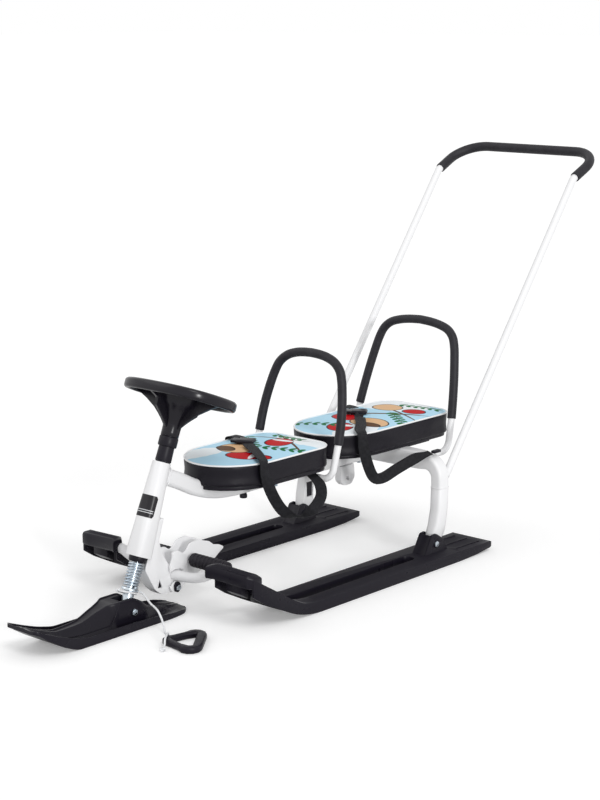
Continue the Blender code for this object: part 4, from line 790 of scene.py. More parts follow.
def eased_runner(bm):
    """Curve the corner between a runner's ramp and its flat length, and fill out its tail."""
    cuts = 28
    for k in range(cuts + 1):
        station = RAMP_FOOT + RAMP_SOFTENED * (1.0 - 2.0 * k / cuts)
        bmesh.ops.bisect_plane(bm, geom=bm.verts[:] + bm.edges[:] + bm.faces[:], dist=1e-6,
                               plane_co=at(station, 0, 0), plane_no=(0.0, 1.0, 0.0))
    for vertex in bm.verts:
        away = RAMP_SOFTENED - abs(-vertex.co.y - DATUM - RAMP_FOOT)
        if away > 0.0:
            vertex.co.z += RAMP_SLOPE * away ** 2 / (4.0 * RAMP_SOFTENED)
        station = -vertex.co.y - DATUM
        if station < TAIL_START and vertex.co.z < TAIL_MIDDLE:
            vertex.co.z *= TAIL_DEEPER
        elif station < TAIL_END:
            vertex.co.z += TAIL_HIGHER


for word in ("left", "right"):
    refined("side_ski_" + word, "runner_" + word, runner_plastic, "chassis",
            0.0011, 2, 35.0, flatten=0.2, reshape=eased_runner)


# The front ski is a glossy black moulding with an upturned tip, a rim round its deck,
# two ribs that climb to the hub, and a pocket for the strut's foot.

ski_plastic = glossy_plastic("ski_plastic", 0.20)


def slope_at(points, i):
    """The slope of a smooth line through one of its points; level at peaks and ends."""
    if i == 0 or i == len(points) - 1:
        return 0.0
    behind = (points[i][1] - points[i - 1][1]) / (points[i][0] - points[i - 1][0])
    ahead = (points[i + 1][1] - points[i][1]) / (points[i + 1][0] - points[i][0])
    if behind * ahead <= 0.0:
        return 0.0
    return 2.0 * behind * ahead / (behind + ahead)


def blend(points, place):
    """A smooth value between (place, value) points that never passes beyond them."""
    if place <= points[0][0]:
        return points[0][1]
    for i in range(len(points) - 1):
        low, high = points[i], points[i + 1]
        if place <= high[0]:
            span = high[0] - low[0]
            slope_low = slope_at(points, i) * span
            slope_high = slope_at(points, i + 1) * span
            t = (place - low[0]) / span
            return ((2 * t ** 3 - 3 * t ** 2 + 1) * low[1] + (t ** 3 - 2 * t ** 2 + t) * slope_low
                    + (3 * t ** 2 - 2 * t ** 3) * high[1] + (t ** 3 - t ** 2) * slope_high)
    return points[-1][1]


TAIL = 0.100
TIP = 0.522
SKI_BASE = ((0.100, 0.004), (0.120, 0.0), (0.410, 0.0), (0.450, 0.0125), (0.492, 0.0360),
            (TIP, 0.0535))
SKI_EDGE = ((0.100, 0.008), (0.127, 0.0105), (0.294, 0.0190), (0.384, 0.0190), (0.423, 0.0260),
            (0.465, 0.0395), (0.502, 0.0540), (TIP, 0.0615))
SKI_RIDGE = ((0.100, 0.0090), (0.150, 0.0180), (0.195, 0.0300), (0.225, 0.0500),
             (0.250, 0.0600), (0.290, 0.0600), (0.330, 0.0500), (0.380, 0.0350),
             (0.430, 0.0330), (0.470, 0.0430), (0.505, 0.0558), (TIP, 0.0620))
SKI_HALF = ((0.100, 0.030), (0.106, 0.040), (0.125, 0.0500), (0.170, 0.0550), (0.450, 0.0550),
            (0.500, 0.0510), (0.515, 0.0460), (TIP, 0.0380))
SKI_CREST = ((0.100, 0.007), (0.160, 0.013), (0.205, 0.0210), (0.228, 0.0265),
             (0.286, 0.0265), (0.308, 0.0175), (0.340, 0.0135), (0.400, 0.0105), (TIP, 0.0075))
SKI_FLARE = ((0.100, 0.35), (0.200, 0.30), (0.226, 0.08), (0.286, 0.08), (0.315, 0.30),
             (0.400, 0.36), (TIP, 0.35))


def ski_section(s):
    """Half of the front ski's cross section at a station, from its base up to its crest."""
    low, rim = blend(SKI_BASE, s), blend(SKI_EDGE, s)
    top = max(blend(SKI_RIDGE, s), rim + 0.0004)
    wide, narrow = blend(SKI_HALF, s), blend(SKI_CREST, s)
    deck = low + min(0.0040, 0.45 * (rim - low))
    from_end = min(1.0, (s - TAIL) / 0.030, (TIP - s) / 0.020)
    deck += (rim - 0.0006 - deck) * (1.0 - from_end) ** 2
    foot = narrow + (wide - narrow) * blend(SKI_FLARE, s)
    soft = min(0.0012, 0.3 * (rim - low))
    ridge_high = top - deck
    return [(wide * 0.86, low), (wide - soft, low), (wide, low + soft), (wide, rim - soft * 0.7),
            (wide - 0.0007, rim), (wide - 0.0024, rim), (wide - 0.0031, rim - soft * 0.8),
            (wide - 0.0040, deck + min(0.0020, 0.5 * (rim - deck))), (wide - 0.0062, deck),
            (foot + 0.0040, deck + 0.02 * ridge_high), (foot + 0.0008, deck + 0.08 * ridge_high),
            (foot * 0.6 + narrow * 0.4, deck + 0.32 * ridge_high),
            (narrow + 0.0016, top - min(0.0052, 0.34 * ridge_high)),
            (narrow + 0.0002, top - min(0.0012, 0.12 * ridge_high)), (narrow - 0.0008, top),
            (narrow - 0.0026, top), (narrow - 0.0034, top - min(0.0024, 0.25 * ridge_high)),
            (narrow * 0.45, top - min(0.0030, 0.30 * ridge_high))]


def cut_away(piece, cutter_bm):
    """Take a closed bmesh out of a piece with an exact Boolean."""
    mesh = bpy.data.meshes.new("cutter")
    cutter_bm.to_mesh(mesh)
    cutter_bm.free()
    cutter = put_in("cutter", mesh)
    cut = piece.modifiers.new("cut", "BOOLEAN")
    cut.operation = "DIFFERENCE"
    cut.object = cutter
    made = applied_mesh(piece)
    piece.modifiers.clear()
    piece.data = made
    bpy.data.objects.remove(cutter, do_unlink=True)
    made.set_sharp_from_angle(angle=math.radians(32.0))


def prism(outline, low, high):
    """A closed bmesh across the sled from an outline of (station, height) points."""
    bm = bmesh.new()
    skin(bm, [[at(s, left, h) for s, h in outline] for left in (low, high)])
    bmesh.ops.recalc_face_normals(bm, faces=bm.faces)
    return bm


stations = [TAIL + (TIP - TAIL) * k / 84 for k in range(85)]
stations += [TAIL + 0.0008, TAIL + 0.0022, TAIL + 0.0045, TIP - 0.0030, TIP - 0.0012]
stations = sorted(set(stations))
rings = []
for s in stations:
    section = ski_section(s)
    rings.append([at(s, a, b) for a, b in section] + [at(s, -a, b) for a, b in reversed(section)])
steering_ski = lofted("steering_ski", rings, ski_plastic, "front_ski", replaces=("front_ski",),
                      slot="black_plastic", sharp=32.0)
cut_away(steering_ski, prism([(0.262, 0.0115), (0.262, 0.041), (0.285, 0.081), (0.2120, 0.081),
                              (0.2120, 0.0115)], -0.0142, 0.0142))
cut_away(steering_ski, prism([(SKI_BOLT[0] + a, SKI_BOLT[1] + b)
                              for a, b in circle(0.0048, 24)], -0.05, 0.05))


# Two thin ribs on either slope of the front ski run from its hub down to the deck.
# They are part of the moulding, and catch the light as narrow lines.

def surface_of(piece):
    """The piece's faces, ready for rays to hit them."""
    return BVHTree.FromPolygons([v.co.copy() for v in piece.data.vertices],
                                [tuple(p.vertices) for p in piece.data.polygons])


ski_surface = surface_of(steering_ski)
for side, word in ((1, "left"), (-1, "right")):
    for number, near, far in ((1, 0.0272, 0.0175), (2, 0.0345, 0.0245)):
        line = []
        for i in range(25):
            share = i / 24
            spot = at(0.284 + 0.142 * share, side * (near + (far - near) * share), 0.0)
            hit = ski_surface.ray_cast(Vector((spot.x, spot.y, 0.2)), Vector((0, 0, -1)))[0]
            line.append(Vector((spot.x, spot.y, hit.z + 0.0002)))
        for _ in range(3):
            line = [line[0]] + [(a + b * 2.0 + c) / 4.0 for a, b, c in
                                zip(line, line[1:], line[2:])] + [line[-1]]
        pipe("ski_rib_%s_%d" % (word, number), line, 0.0011, ski_plastic, "front_ski", sides=12,
             slot="black_plastic", soften=0.0005)


# Bolts and nuts are bright zinc-plated steel: hexagon heads with a washer face,
# one through each rear clevis, one through the front ski, and one at the brake.

zinc = finish_of("zinc_plate", (0.62, 0.66, 0.69), 0.26, metallic=1.0)
spread_between(zinc, object_noise(zinc, 60.0), "Roughness", 0.18, 0.36)
tint_between(zinc, object_noise(zinc, 25.0), (0.40, 0.48, 0.56), (0.62, 0.67, 0.71))


def hexagon_bolt(name, ends, shank, head, body, node):
    """A bolt along X between two faces: a domed hexagon head, a shank and a nut."""
    (station, height), low, high = ends
    thick = 0.0043
    rows = [("hex", head - 0.0010, low - thick), ("hex", head, low - thick + 0.0009),
            ("hex", head, low - 0.0007), ("ring", head * 0.98, low - 0.0006),
            ("ring", head * 0.98, low), ("ring", shank, low), ("ring", shank, high),
            ("ring", head * 0.98, high), ("ring", head * 0.98, high + 0.0006),
            ("hex", head, high + 0.0007), ("hex", head, high + thick - 0.0009),
            ("hex", head - 0.0010, high + thick), ("ring", shank * 0.95, high + thick),
            ("ring", shank * 0.80, high + thick + 0.0002)]
    sides = 36
    rings = []
    for kind, size, left in rows:
        line = []
        for i in range(sides):
            angle = 2.0 * math.pi * i / sides
            flat = (angle + math.pi / 6.0) % (math.pi / 3.0) - math.pi / 6.0
            reach = 0.87 * size / math.cos(flat) if kind == "hex" else 0.87 * size
            line.append(at(station + reach * math.cos(angle), left,
                           height + reach * math.sin(angle)))
        rings.append(line)
    lofted(name, rings, zinc, body, replaces=(node,), slot="steel", sharp=28.0)


REAR_BOLT = (-0.519, 0.044)
BRAKE_BOLT = (0.117, 0.052)
BOLT_RADIUS = 0.0046
BOLT_HEAD = 0.0074
for word, near, far in (("left", 0.1812, 0.2188), ("right", -0.2188, -0.1812)):
    hexagon_bolt("clevis_bolt_" + word, (REAR_BOLT, near, far), BOLT_RADIUS, BOLT_HEAD, "chassis",
                 "ski_bolt_" + word)
hexagon_bolt("hub_bolt", (SKI_BOLT, -0.0286, 0.0286), BOLT_RADIUS, BOLT_HEAD, "strut",
             "front_ski_bolt")
hexagon_bolt("brake_bolt", (BRAKE_BOLT, -0.0275, 0.0275), 0.0048, 0.0066, "chassis",
             "brake_pivot_pin")


# The strut is a zinc-plated rod with a turned foot and a collar under its coil
# spring. The spring is round wire.

def turned_rings(profile, sides):
    """Rings round the steering axis from (radius, place) points."""
    return [[on_axis(a, b, place) for a, b in circle(radius, sides)] for radius, place in profile]


def turned(name, profile, material, body, node, slot, hollow=False):
    """A turned piece on the steering axis."""
    lofted(name, turned_rings(profile, 40), material, body, closed=hollow,
           replaces=(node,) if node else (), slot=slot, sharp=32.0)


turned("strut_bar", [(0.0080, 0.0458), (0.0080, 0.190)], zinc, "strut", "strut_rod", "zinc")
turned("strut_guide", [(0.0089, 0.0575), (0.0104, 0.0575), (0.0109, 0.0580), (0.0109, 0.0996),
                       (0.0089, 0.0996)], zinc, "steering_column", None, "zinc", hollow=True)
turned("spring_seat", [(0.0150, 0.0392), (0.0180, 0.0396), (0.0185, 0.0402), (0.0185, 0.0440),
                       (0.0181, 0.0448), (0.0172, 0.0455), (0.0085, 0.0455)], zinc, "strut",
       "strut_collar", "zinc")
refined("strut_foot", "strut_shoe", zinc, "strut", 0.0008, 3, 35.0)

SPRING_WIRE = 0.0021
SPRING_RADIUS = 0.0143
SPRING_TURNS = 8
SPRING_LOW = 0.0458
SPRING_HIGH = 0.0997
SPRING_GROWS = (SPRING_LOW + SPRING_WIRE, SPRING_HIGH - SPRING_WIRE)


def coil_points(turns, steps, radius, low, high):
    """Two offsets and a place for each point of a coil; its end turns lie a little closer."""
    points = []
    for i in range(turns * steps + 1):
        share = i / (turns * steps)
        angle = 2.0 * math.pi * turns * share
        ease = share - math.sin(2.0 * math.pi * share) / (2.0 * math.pi) * 0.10
        points.append((radius * math.cos(angle), radius * math.sin(angle),
                       low + (high - low) * ease))
    return points


spring_line = [on_axis(*point) for point in coil_points(SPRING_TURNS, 36, SPRING_RADIUS,
                                                        *SPRING_GROWS)]
coil = pipe("coil_spring", spring_line, SPRING_WIRE, zinc, "strut", sides=14,
            replaces=("strut_spring",), slot="zinc", soften=0.0004)

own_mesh(coil)


# The steering column is a steel tube in plastic bushes, under a stepped black cover.
# A black plastic cap below the head tube holds the top of the spring.

turned("spring_top_cap", [(0.0086, 0.1000), (0.0158, 0.1000), (0.0170, 0.1006),
                          (0.0183, 0.1030), (0.0190, 0.1090), (0.0186, 0.1117),
                          (0.0086, 0.1117)], plastic, "steering_column", "spring_cap",
       "black_plastic", hollow=True)
turned("column_sleeve", [(0.0131, 0.3142), (0.0168, 0.3142), (0.0171, 0.3150),
                         (0.0168, 0.3300), (0.0164, 0.3455), (0.0180, 0.3458),
                         (0.0194, 0.3466), (0.0200, 0.3480), (0.0201, 0.3560),
                         (0.0200, 0.3650), (0.0195, 0.3664), (0.0185, 0.3672),
                         (0.0131, 0.3672)], plastic, "steering_column", "column_cover",
       "black_plastic", hollow=True)
turned("steering_tube", [(0.0086, 0.112), (0.0125, 0.112), (0.0125, 0.432), (0.0086, 0.432)],
       zinc, "steering_column", "column_tube", "steel", hollow=True)
refined("column_bush_lower", "lower_bush", plastic, "chassis", 0.0004, 2)
refined("column_bush_upper", "upper_bush", plastic, "chassis", 0.0004, 2)


# The steering wheel is a shallow moulded pan with a thick rounded rim.
# Four webs run from its neck to the rim below the pan.

wheel_plastic = finish_of("wheel_plastic", (0.0064, 0.0054, 0.0095), 0.24, specular=0.32)
bump_with(wheel_plastic, object_noise(wheel_plastic, 90.0, 2.0), 0.03, 0.0006)
spread_between(wheel_plastic, object_noise(wheel_plastic, 12.0), "Roughness", 0.21, 0.28)

WHEEL_HALF_WIDTH = 0.124
WHEEL_HALF_DEPTH = 0.097
WHEEL_TOP = 0.4685
WHEEL_BOTTOM = 0.4460


def wheel_ring(inset, height, count=96):
    """A superellipse ring of the wheel, square to the steering axis."""
    line = []
    for i in range(count):
        angle = 2.0 * math.pi * (i + 0.5) / count
        c, s = math.cos(angle), math.sin(angle)
        power = 2.0 / 2.5
        line.append(on_axis(math.copysign(abs(c) ** power, c) * (WHEEL_HALF_WIDTH - inset),
                            math.copysign(abs(s) ** power, s) * (WHEEL_HALF_DEPTH - inset),
                            height))
    return line


pan_rows = ((0.060, WHEEL_TOP - 0.0052), (0.040, WHEEL_TOP - 0.0046), (0.024, WHEEL_TOP - 0.0040),
            (0.0165, WHEEL_TOP - 0.0034), (0.0135, WHEEL_TOP - 0.0016),
            (0.0105, WHEEL_TOP - 0.0004), (0.0075, WHEEL_TOP - 0.0001),
            (0.0045, WHEEL_TOP - 0.0008), (0.0018, WHEEL_TOP - 0.0028),
            (0.0004, WHEEL_TOP - 0.0050), (0.0000, WHEEL_TOP - 0.0066),
            (0.0000, WHEEL_TOP - 0.0110), (0.0000, WHEEL_BOTTOM + 0.0064),
            (0.0004, WHEEL_BOTTOM + 0.0042), (0.0014, WHEEL_BOTTOM + 0.0022),
            (0.0034, WHEEL_BOTTOM + 0.0004), (0.0060, WHEEL_BOTTOM),
            (0.0088, WHEEL_BOTTOM + 0.0008), (0.0104, WHEEL_BOTTOM + 0.0030),
            (0.0116, WHEEL_TOP - 0.0120), (0.0150, WHEEL_TOP - 0.0098),
            (0.040, WHEEL_TOP - 0.0092), (0.060, WHEEL_TOP - 0.0090))
bm = bmesh.new()
skin(bm, [wheel_ring(inset, height) for inset, height in pan_rows])
neck_rows = ((0.0131, 0.3675), (0.0186, 0.3675), (0.0192, 0.3683), (0.0193, 0.3760),
             (0.0194, 0.3850), (0.0198, 0.3905), (0.0205, 0.3950), (0.0240, 0.4060),
             (0.0300, 0.4180), (0.0380, 0.4290), (0.0480, 0.4380), (0.0560, WHEEL_TOP - 0.0080),
             (0.0131, WHEEL_TOP - 0.0080))
skin(bm, turned_rings(neck_rows, 48), closed=True)
for across in (True, False):
    reach = (WHEEL_HALF_WIDTH if across else WHEEL_HALF_DEPTH) - 0.009
    for sign in (1, -1):
        side = [(0.0150, 0.3835), (0.0200, 0.3852), (0.0265, 0.3925), (0.036, 0.4015),
                (0.048, 0.4115), (0.063, 0.4225), (reach - 0.024, 0.4375),
                (reach, WHEEL_BOTTOM + 0.0015), (reach, WHEEL_TOP - 0.0092),
                (0.0150, WHEEL_TOP - 0.0092)]
        rings = []
        for offset, pinch in ((-0.0036, 0.0006), (-0.0030, 0.0), (0.0030, 0.0),
                              (0.0036, 0.0006)):
            rings.append([on_axis(sign * r, offset, z + pinch) if across
                          else on_axis(offset, sign * r, z + pinch) for r, z in side])
        skin(bm, rings)
settle("steering_pan", bm, wheel_plastic, "steering_column", replaces=("steering_wheel",),
       slot="black_plastic", sharp=38.0)


# The foot brake is a pair of toothed steel plates on a pivot, coated white.
# Ribbed rubber grips sit on its pedal rod, and a small torsion spring returns it.

for word in ("left", "right"):
    refined("brake_plate_" + word, "brake_claw_" + word, white_coat, "brake_lever",
            0.0007, 2, 40.0)
    refined("brake_bush_" + word, "pivot_washer_" + word, plastic, "brake_lever",
            0.0006, 2, 40.0)

rubber = finish_of("pedal_rubber", (0.013, 0.011, 0.016), 0.50, specular=0.22)
bump_with(rubber, object_noise(rubber, 700.0, 2.0), 0.20, 0.0004)

PEDAL = (0.075, 0.104)
GRIP_LOW = 0.0300
GRIP_HIGH = 0.1335
GRIP_RIBS = 9
pitch = (GRIP_HIGH - GRIP_LOW - 0.010) / GRIP_RIBS
grip_profile = [(0.0058, GRIP_LOW), (0.0112, GRIP_LOW), (0.0136, GRIP_LOW + 0.0008),
                (0.0145, GRIP_LOW + 0.0026)]
for i in range(GRIP_RIBS):
    foot = GRIP_LOW + 0.004 + pitch * i
    grip_profile += [(0.0149, foot), (0.0151, foot + pitch * 0.30), (0.0149, foot + pitch * 0.58),
                     (0.0138, foot + pitch * 0.66), (0.0134, foot + pitch * 0.78),
                     (0.0138, foot + pitch * 0.90)]
grip_profile += [(0.0146, GRIP_HIGH - 0.0042), (0.0141, GRIP_HIGH - 0.0016),
                 (0.0126, GRIP_HIGH - 0.0003), (0.0105, GRIP_HIGH), (0.0058, GRIP_HIGH)]
for word, sign in (("left", 1), ("right", -1)):
    rings = [[at(PEDAL[0] + a, sign * left, PEDAL[1] + b) for a, b in circle(radius, 36)]
             for radius, left in grip_profile]
    lofted("rubber_grip_" + word, rings, rubber, "brake_lever", closed=True,
           replaces=("pedal_grip_" + word,), slot="black_rubber", sharp=30.0)

steel = finish_of("plain_steel", (0.50, 0.52, 0.54), 0.32, metallic=1.0)
spread_between(steel, object_noise(steel, 80.0), "Roughness", 0.24, 0.42)
pipe("pedal_bar", [at(PEDAL[0], -0.1320, PEDAL[1]), at(PEDAL[0], 0.1320, PEDAL[1])], 0.0052,
     steel, "brake_lever", sides=28, replaces=("pedal_rod",), slot="steel", soften=0.0006)

spring_line = [at(BRAKE_BOLT[0] + a, left, BRAKE_BOLT[1] + b)
               for a, b, left in coil_points(4, 28, 0.0066, -0.0092, 0.0092)]
pipe("torsion_spring", spring_line, 0.0008, steel, "chassis", sides=10,
     replaces=("brake_spring",), slot="steel")


# The push bar is one bent steel tube, coated white, bolted behind the rear seat.
# Closed-cell foam covers its handle and both of its top bends.

foam = finish_of("grip_foam", (0.016, 0.015, 0.019), 0.50, specular=0.26)
bump_with(foam, object_noise(foam, 900.0, 3.0), 0.35, 0.0005)
bump_with(foam, object_noise(foam, 140.0, 3.0), 0.10, 0.0010)
tint_between(foam, object_noise(foam, 60.0), (0.013, 0.012, 0.016), (0.019, 0.018, 0.023))


def sleeve(name, path, outer, inner, node):
    """A foam sleeve with rolled ends and an open bore along a path."""
    sides = 32
    lip = 0.0012
    frames = carried_frames(path)
    rings = [round_ring(item, outer, sides) for item in frames]
    for end in (0, -1):
        place, across, up = frames[end]
        inward = (frames[1 if end == 0 else -2][0] - place).normalized()
        rings[end] = round_ring((place + inward * lip, across, up), outer, sides)
        for back, radius in ((lip * 0.3, outer - lip * 0.30), (0.0, outer - lip)):
            rim = round_ring((place + inward * back, across, up), radius, sides)
            if end == 0:
                rings.insert(0, rim)
            else:
                rings.append(rim)
    rings += [round_ring(item, inner, sides) for item in reversed(frames)]
    piece = lofted(name, rings, foam, "chassis", closed=True, replaces=(node,),
                   slot="black_foam", sharp=50.0)


PUSHER_RADIUS = 0.009
foot = [at(-0.5752, 0.2004, 0.1907), at(-0.6198, 0.2004, 0.250)]
bend = at(-1.0607, 0.2035, 0.8363)
corner = at(-1.1753, 0.207, 0.891)
top_route = [foot[1].lerp(bend, 0.965), bend, corner]
top_route += mirrored(top_route)
top_path = fillet(top_route, [0, 0.022, 0.072, 0.072, 0.022, 0], 14)
low_bend = fillet([foot[0], foot[1], top_path[0]], [0, 0.030, 0], 8)[:-1]
whole = low_bend + top_path + mirrored(low_bend)
pipe("push_tube", whole, PUSHER_RADIUS, white_coat, "chassis", sides=28,
     replaces=("pusher_tube",), slot="white_paint")
covered = [bend.lerp(corner, 0.05)] + [bend.lerp(corner, share) for share in (0.15, 0.25)]
covered += top_path[16:-16]
covered += mirrored(covered[:3])
sleeve("push_grip", covered, 0.0118, PUSHER_RADIUS + 0.0006, "handle_foam")


# Each backrest is a bent tube in a foam sleeve, with its feet coated white.
# The rear one is fixed behind the arch, the front one to the backbone.

def hoop_path(foot_end, foot_corner, bend_radius, lean, profile):
    """A backrest's centre line: a bent foot, an arch that leans back, and the other foot."""
    station, height, slope = lean
    arch = [at(station + slope * (z - height), side, z) for side, z in profile]
    low = fillet([foot_end, foot_corner, arch[0]], [0, bend_radius, 0], 12)
    left = low[:-1] + smooth_path(arch, 0.006)
    return left + mirrored(left[:-1])


for prefix, foot_end, foot_corner, bend_radius, lean, profile in (
        ("rear", at(ARCH_STATION - 0.0180, 0.1405, ARCH_HEIGHT), at(-0.6610, 0.1405, ARCH_HEIGHT),
         0.030, (-0.7010, 0.400, -0.26),
         [(0.1395, 0.2995), (0.1345, 0.342), (0.1275, 0.390), (0.1190, 0.435),
          (0.1130, 0.4600), (0.1035, 0.4820), (0.0860, 0.4975), (0.0600, 0.5060),
          (0.0310, 0.5105), (0.0, 0.5125)]),
        ("front", at(-0.2700, 0.0125, 0.225), at(-0.2700, 0.1180, 0.225),
         0.024, (-0.3170, 0.400, -0.245),
         [(0.1180, 0.2995), (0.1165, 0.340), (0.1125, 0.376), (0.1055, 0.412),
          (0.0985, 0.4370), (0.0890, 0.4570), (0.0700, 0.4730), (0.0460, 0.4815),
          (0.0230, 0.4850), (0.0, 0.4862)])):
    line = hoop_path(foot_end, foot_corner, bend_radius, lean, profile)
    pipe(prefix + "_backrest_tube", line, 0.0078, white_coat, "chassis", sides=26,
         replaces=(prefix + "_hoop",), slot="white_paint")
    covered = [p for p in line if p.z > 0.299]
    sleeve(prefix + "_backrest_foam", covered, 0.0103, 0.0085, prefix + "_hoop_foam")


# Each seat is a foam cushion in black vinyl with a printed top and white piping,
# stapled to a black plastic board that is bolted to the backbone.

def seat_outline(front, rear, half, nose, corner, inset, steps=28):
    """A seat from above: an elliptic nose, straight sides and round rear corners."""
    points = []
    wide = half - inset
    start = front - nose
    for i in range(steps * 2 + 1):
        angle = math.pi / 2.0 - math.pi * i / (steps * 2)
        points.append((start + (nose - inset) * math.cos(angle), wide * math.sin(angle)))
    back = rear + inset
    round_off = max(corner - inset, 0.004)
    for i in range(1, 13):
        share = i / 12
        points.append((start + (back + round_off - start) * share, -wide))
    for sign in (-1, 1):
        for i in range(9):
            angle = math.pi / 2.0 * i / 8
            bend_here = angle if sign < 0 else math.pi / 2.0 - angle
            points.append((back + round_off - round_off * math.sin(bend_here),
                           sign * (wide - round_off + round_off * math.cos(bend_here))))
    for i in range(0, 12):
        share = 1.0 - i / 12
        points.append((start + (back + round_off - start) * share, wide))
    return points


vinyl = finish_of("black_vinyl", (0.0080, 0.0068, 0.0110), 0.40, specular=0.20)
bump_with(vinyl, object_noise(vinyl, 420.0, 4.0), 0.30, 0.0006)
bump_with(vinyl, object_noise(vinyl, 28.0, 2.0, (1.0, 1.0, 2.5)), 0.25, 0.0030)
piping = finish_of("white_piping", (0.86, 0.87, 0.88), 0.4, specular=0.45)

RED = (0.52, 0.004, 0.008)
GREEN = (0.002, 0.15, 0.040)
BROWN = (0.12, 0.060, 0.030)
INK = (0.012, 0.010, 0.012)
SNOW = (0.86, 0.91, 0.94)
BISCUIT = (0.74, 0.47, 0.26)
SKY_BLUE = (0.47, 0.74, 0.90)


def print_on(material, centre, motifs):
    """A made-up print in object space, painted from ellipses: place, size, turn, colour."""
    tree = material.node_tree
    where = add_node(tree, "ShaderNodeTexCoord").outputs["Object"]
    flat = add_node(tree, "ShaderNodeMapping", {"Vector": where, "Scale": (1.0, 1.0, 0.0),
                                                "Location": (-centre.x, -centre.y, 0.0)})
    rough = add_node(tree, "ShaderNodeTexNoise", {"Vector": flat.outputs["Vector"], "Scale": 55.0})
    centred = add_node(tree, "ShaderNodeMath", {0: rough.outputs["Fac"], 1: 0.5},
                       operation="SUBTRACT")
    colour = (*SKY_BLUE, 1.0)
    for place, size, bend_here, ragged, tone in motifs:
        move = add_node(tree, "ShaderNodeMapping",
                        {"Vector": flat.outputs["Vector"], "Location": (*place, 0.0),
                         "Rotation": (0.0, 0.0, bend_here), "Scale": (*size, 1.0)},
                        vector_type="TEXTURE")
        length = add_node(tree, "ShaderNodeVectorMath", {0: move.outputs["Vector"]},
                          operation="LENGTH")
        edge = add_node(tree, "ShaderNodeMath", {0: centred.outputs[0], 1: ragged,
                                                 2: length.outputs["Value"]},
                        operation="MULTIPLY_ADD")
        soft = 0.0006 / min(size)
        mask = add_node(tree, "ShaderNodeMapRange", {"Value": edge.outputs[0],
                                                     "From Min": 1.0 + soft,
                                                     "From Max": 1.0 - soft})
        colour = add_node(tree, "ShaderNodeMix", {"Factor": mask.outputs["Result"], "A": colour,
                                                  "B": (*tone, 1.0)},
                          data_type="RGBA").outputs["Result"]
    tree.links.new(colour, tree.nodes["Principled BSDF"].inputs["Base Color"])


def outlined(place, size, bend_here, tone, rim=0.0030):
    """An ellipse with an ink line round it."""
    return [(place, (size[0] + rim, size[1] + rim), bend_here, 0.05, INK),
            (place, size, bend_here, 0.05, tone)]


def sprig(place, heading, reach, leaves, tone):
    """A twig with pairs of narrow leaves."""
    across = (-math.sin(heading), math.cos(heading))
    made = [(place, (reach, 0.0013), heading, 0.3, BROWN)]
    for i in range(leaves):
        along = reach * (1.7 * i / max(1, leaves - 1) - 0.85)
        for sign in (1, -1):
            made.append(((place[0] + along * math.cos(heading) + sign * 0.007 * across[0],
                          place[1] + along * math.sin(heading) + sign * 0.007 * across[1]),
                         (0.0105, 0.0052), heading + sign * 0.9, 0.25, tone))
    return made


SEATS = {
    "front": {"front": 0.032, "rear": -0.300, "bottom": 0.2518, "top": 0.3000, "nose": 0.128},
    "rear": {"front": -0.322, "rear": -0.735, "bottom": 0.2552, "top": 0.3050, "nose": 0.128},
}
SEAT_HALF = 0.106
SEAT_CORNER = 0.048
SWELL_LIMIT = 0.0050
SWELL_FRAMES = 20
SWELL_PRESSURE = 4.0
SWELL_GRID = 0.0045
PRINTS = {
    "front": ([((0.050, 0.150), (0.085, 0.050), 0.2, 0.35, SNOW),
               ((-0.060, -0.100), (0.040, 0.060), -0.3, 0.35, SNOW)]
              + [((0.030, 0.100), (0.110, 0.0034), -0.55, 0.3, BROWN),
                 ((-0.020, 0.112), (0.075, 0.0028), 0.35, 0.3, BROWN)]
              + outlined((0.036, -0.060), (0.036, 0.026), 0.4, RED)
              + outlined((0.074, -0.036), (0.016, 0.013), 0.9, RED)
              + [((0.052, -0.046), (0.006, 0.026), 0.4, 0.1, SNOW)]
              + outlined((-0.022, -0.020), (0.044, 0.038), -0.3, BISCUIT)
              + outlined((-0.038, -0.036), (0.027, 0.015), -0.3, BROWN)
              + sprig((0.050, 0.040), 0.5, 0.058, 6, GREEN)
              + sprig((-0.050, 0.056), -0.7, 0.052, 5, GREEN)
              + outlined((0.010, 0.084), (0.028, 0.038), 0.3, RED)
              + [((0.006, 0.102), (0.026, 0.008), 0.3, 0.1, SNOW)]
              + sprig((-0.010, 0.138), 0.1, 0.040, 5, GREEN)),
    "rear": ([((-0.060, 0.160), (0.120, 0.080), -0.2, 0.35, SNOW),
              ((0.070, -0.120), (0.045, 0.080), 0.3, 0.35, SNOW)]
             + outlined((0.024, -0.120), (0.028, 0.036), 0.5, RED)
             + [((0.030, -0.102), (0.026, 0.008), 0.5, 0.1, SNOW)]
             + sprig((-0.040, -0.130), 0.4, 0.050, 5, GREEN)
             + [((0.000, 0.040), (0.120, 0.0050), 0.65, 0.3, BROWN),
                ((0.030, 0.085), (0.085, 0.0032), -0.35, 0.3, BROWN)]
             + outlined((0.044, -0.040), (0.044, 0.038), 0.3, BISCUIT)
             + outlined((0.056, -0.058), (0.027, 0.015), 0.3, BROWN)
             + outlined((-0.034, -0.036), (0.038, 0.026), -0.5, RED)
             + outlined((-0.058, 0.012), (0.016, 0.013), 0.2, RED)
             + sprig((0.062, 0.040), -0.6, 0.052, 6, GREEN)
             + outlined((-0.025, 0.112), (0.038, 0.032), -0.2, BISCUIT)
             + outlined((0.050, 0.118), (0.026, 0.020), 0.7, RED)
             + sprig((0.030, 0.168), 0.2, 0.055, 6, GREEN)),
}


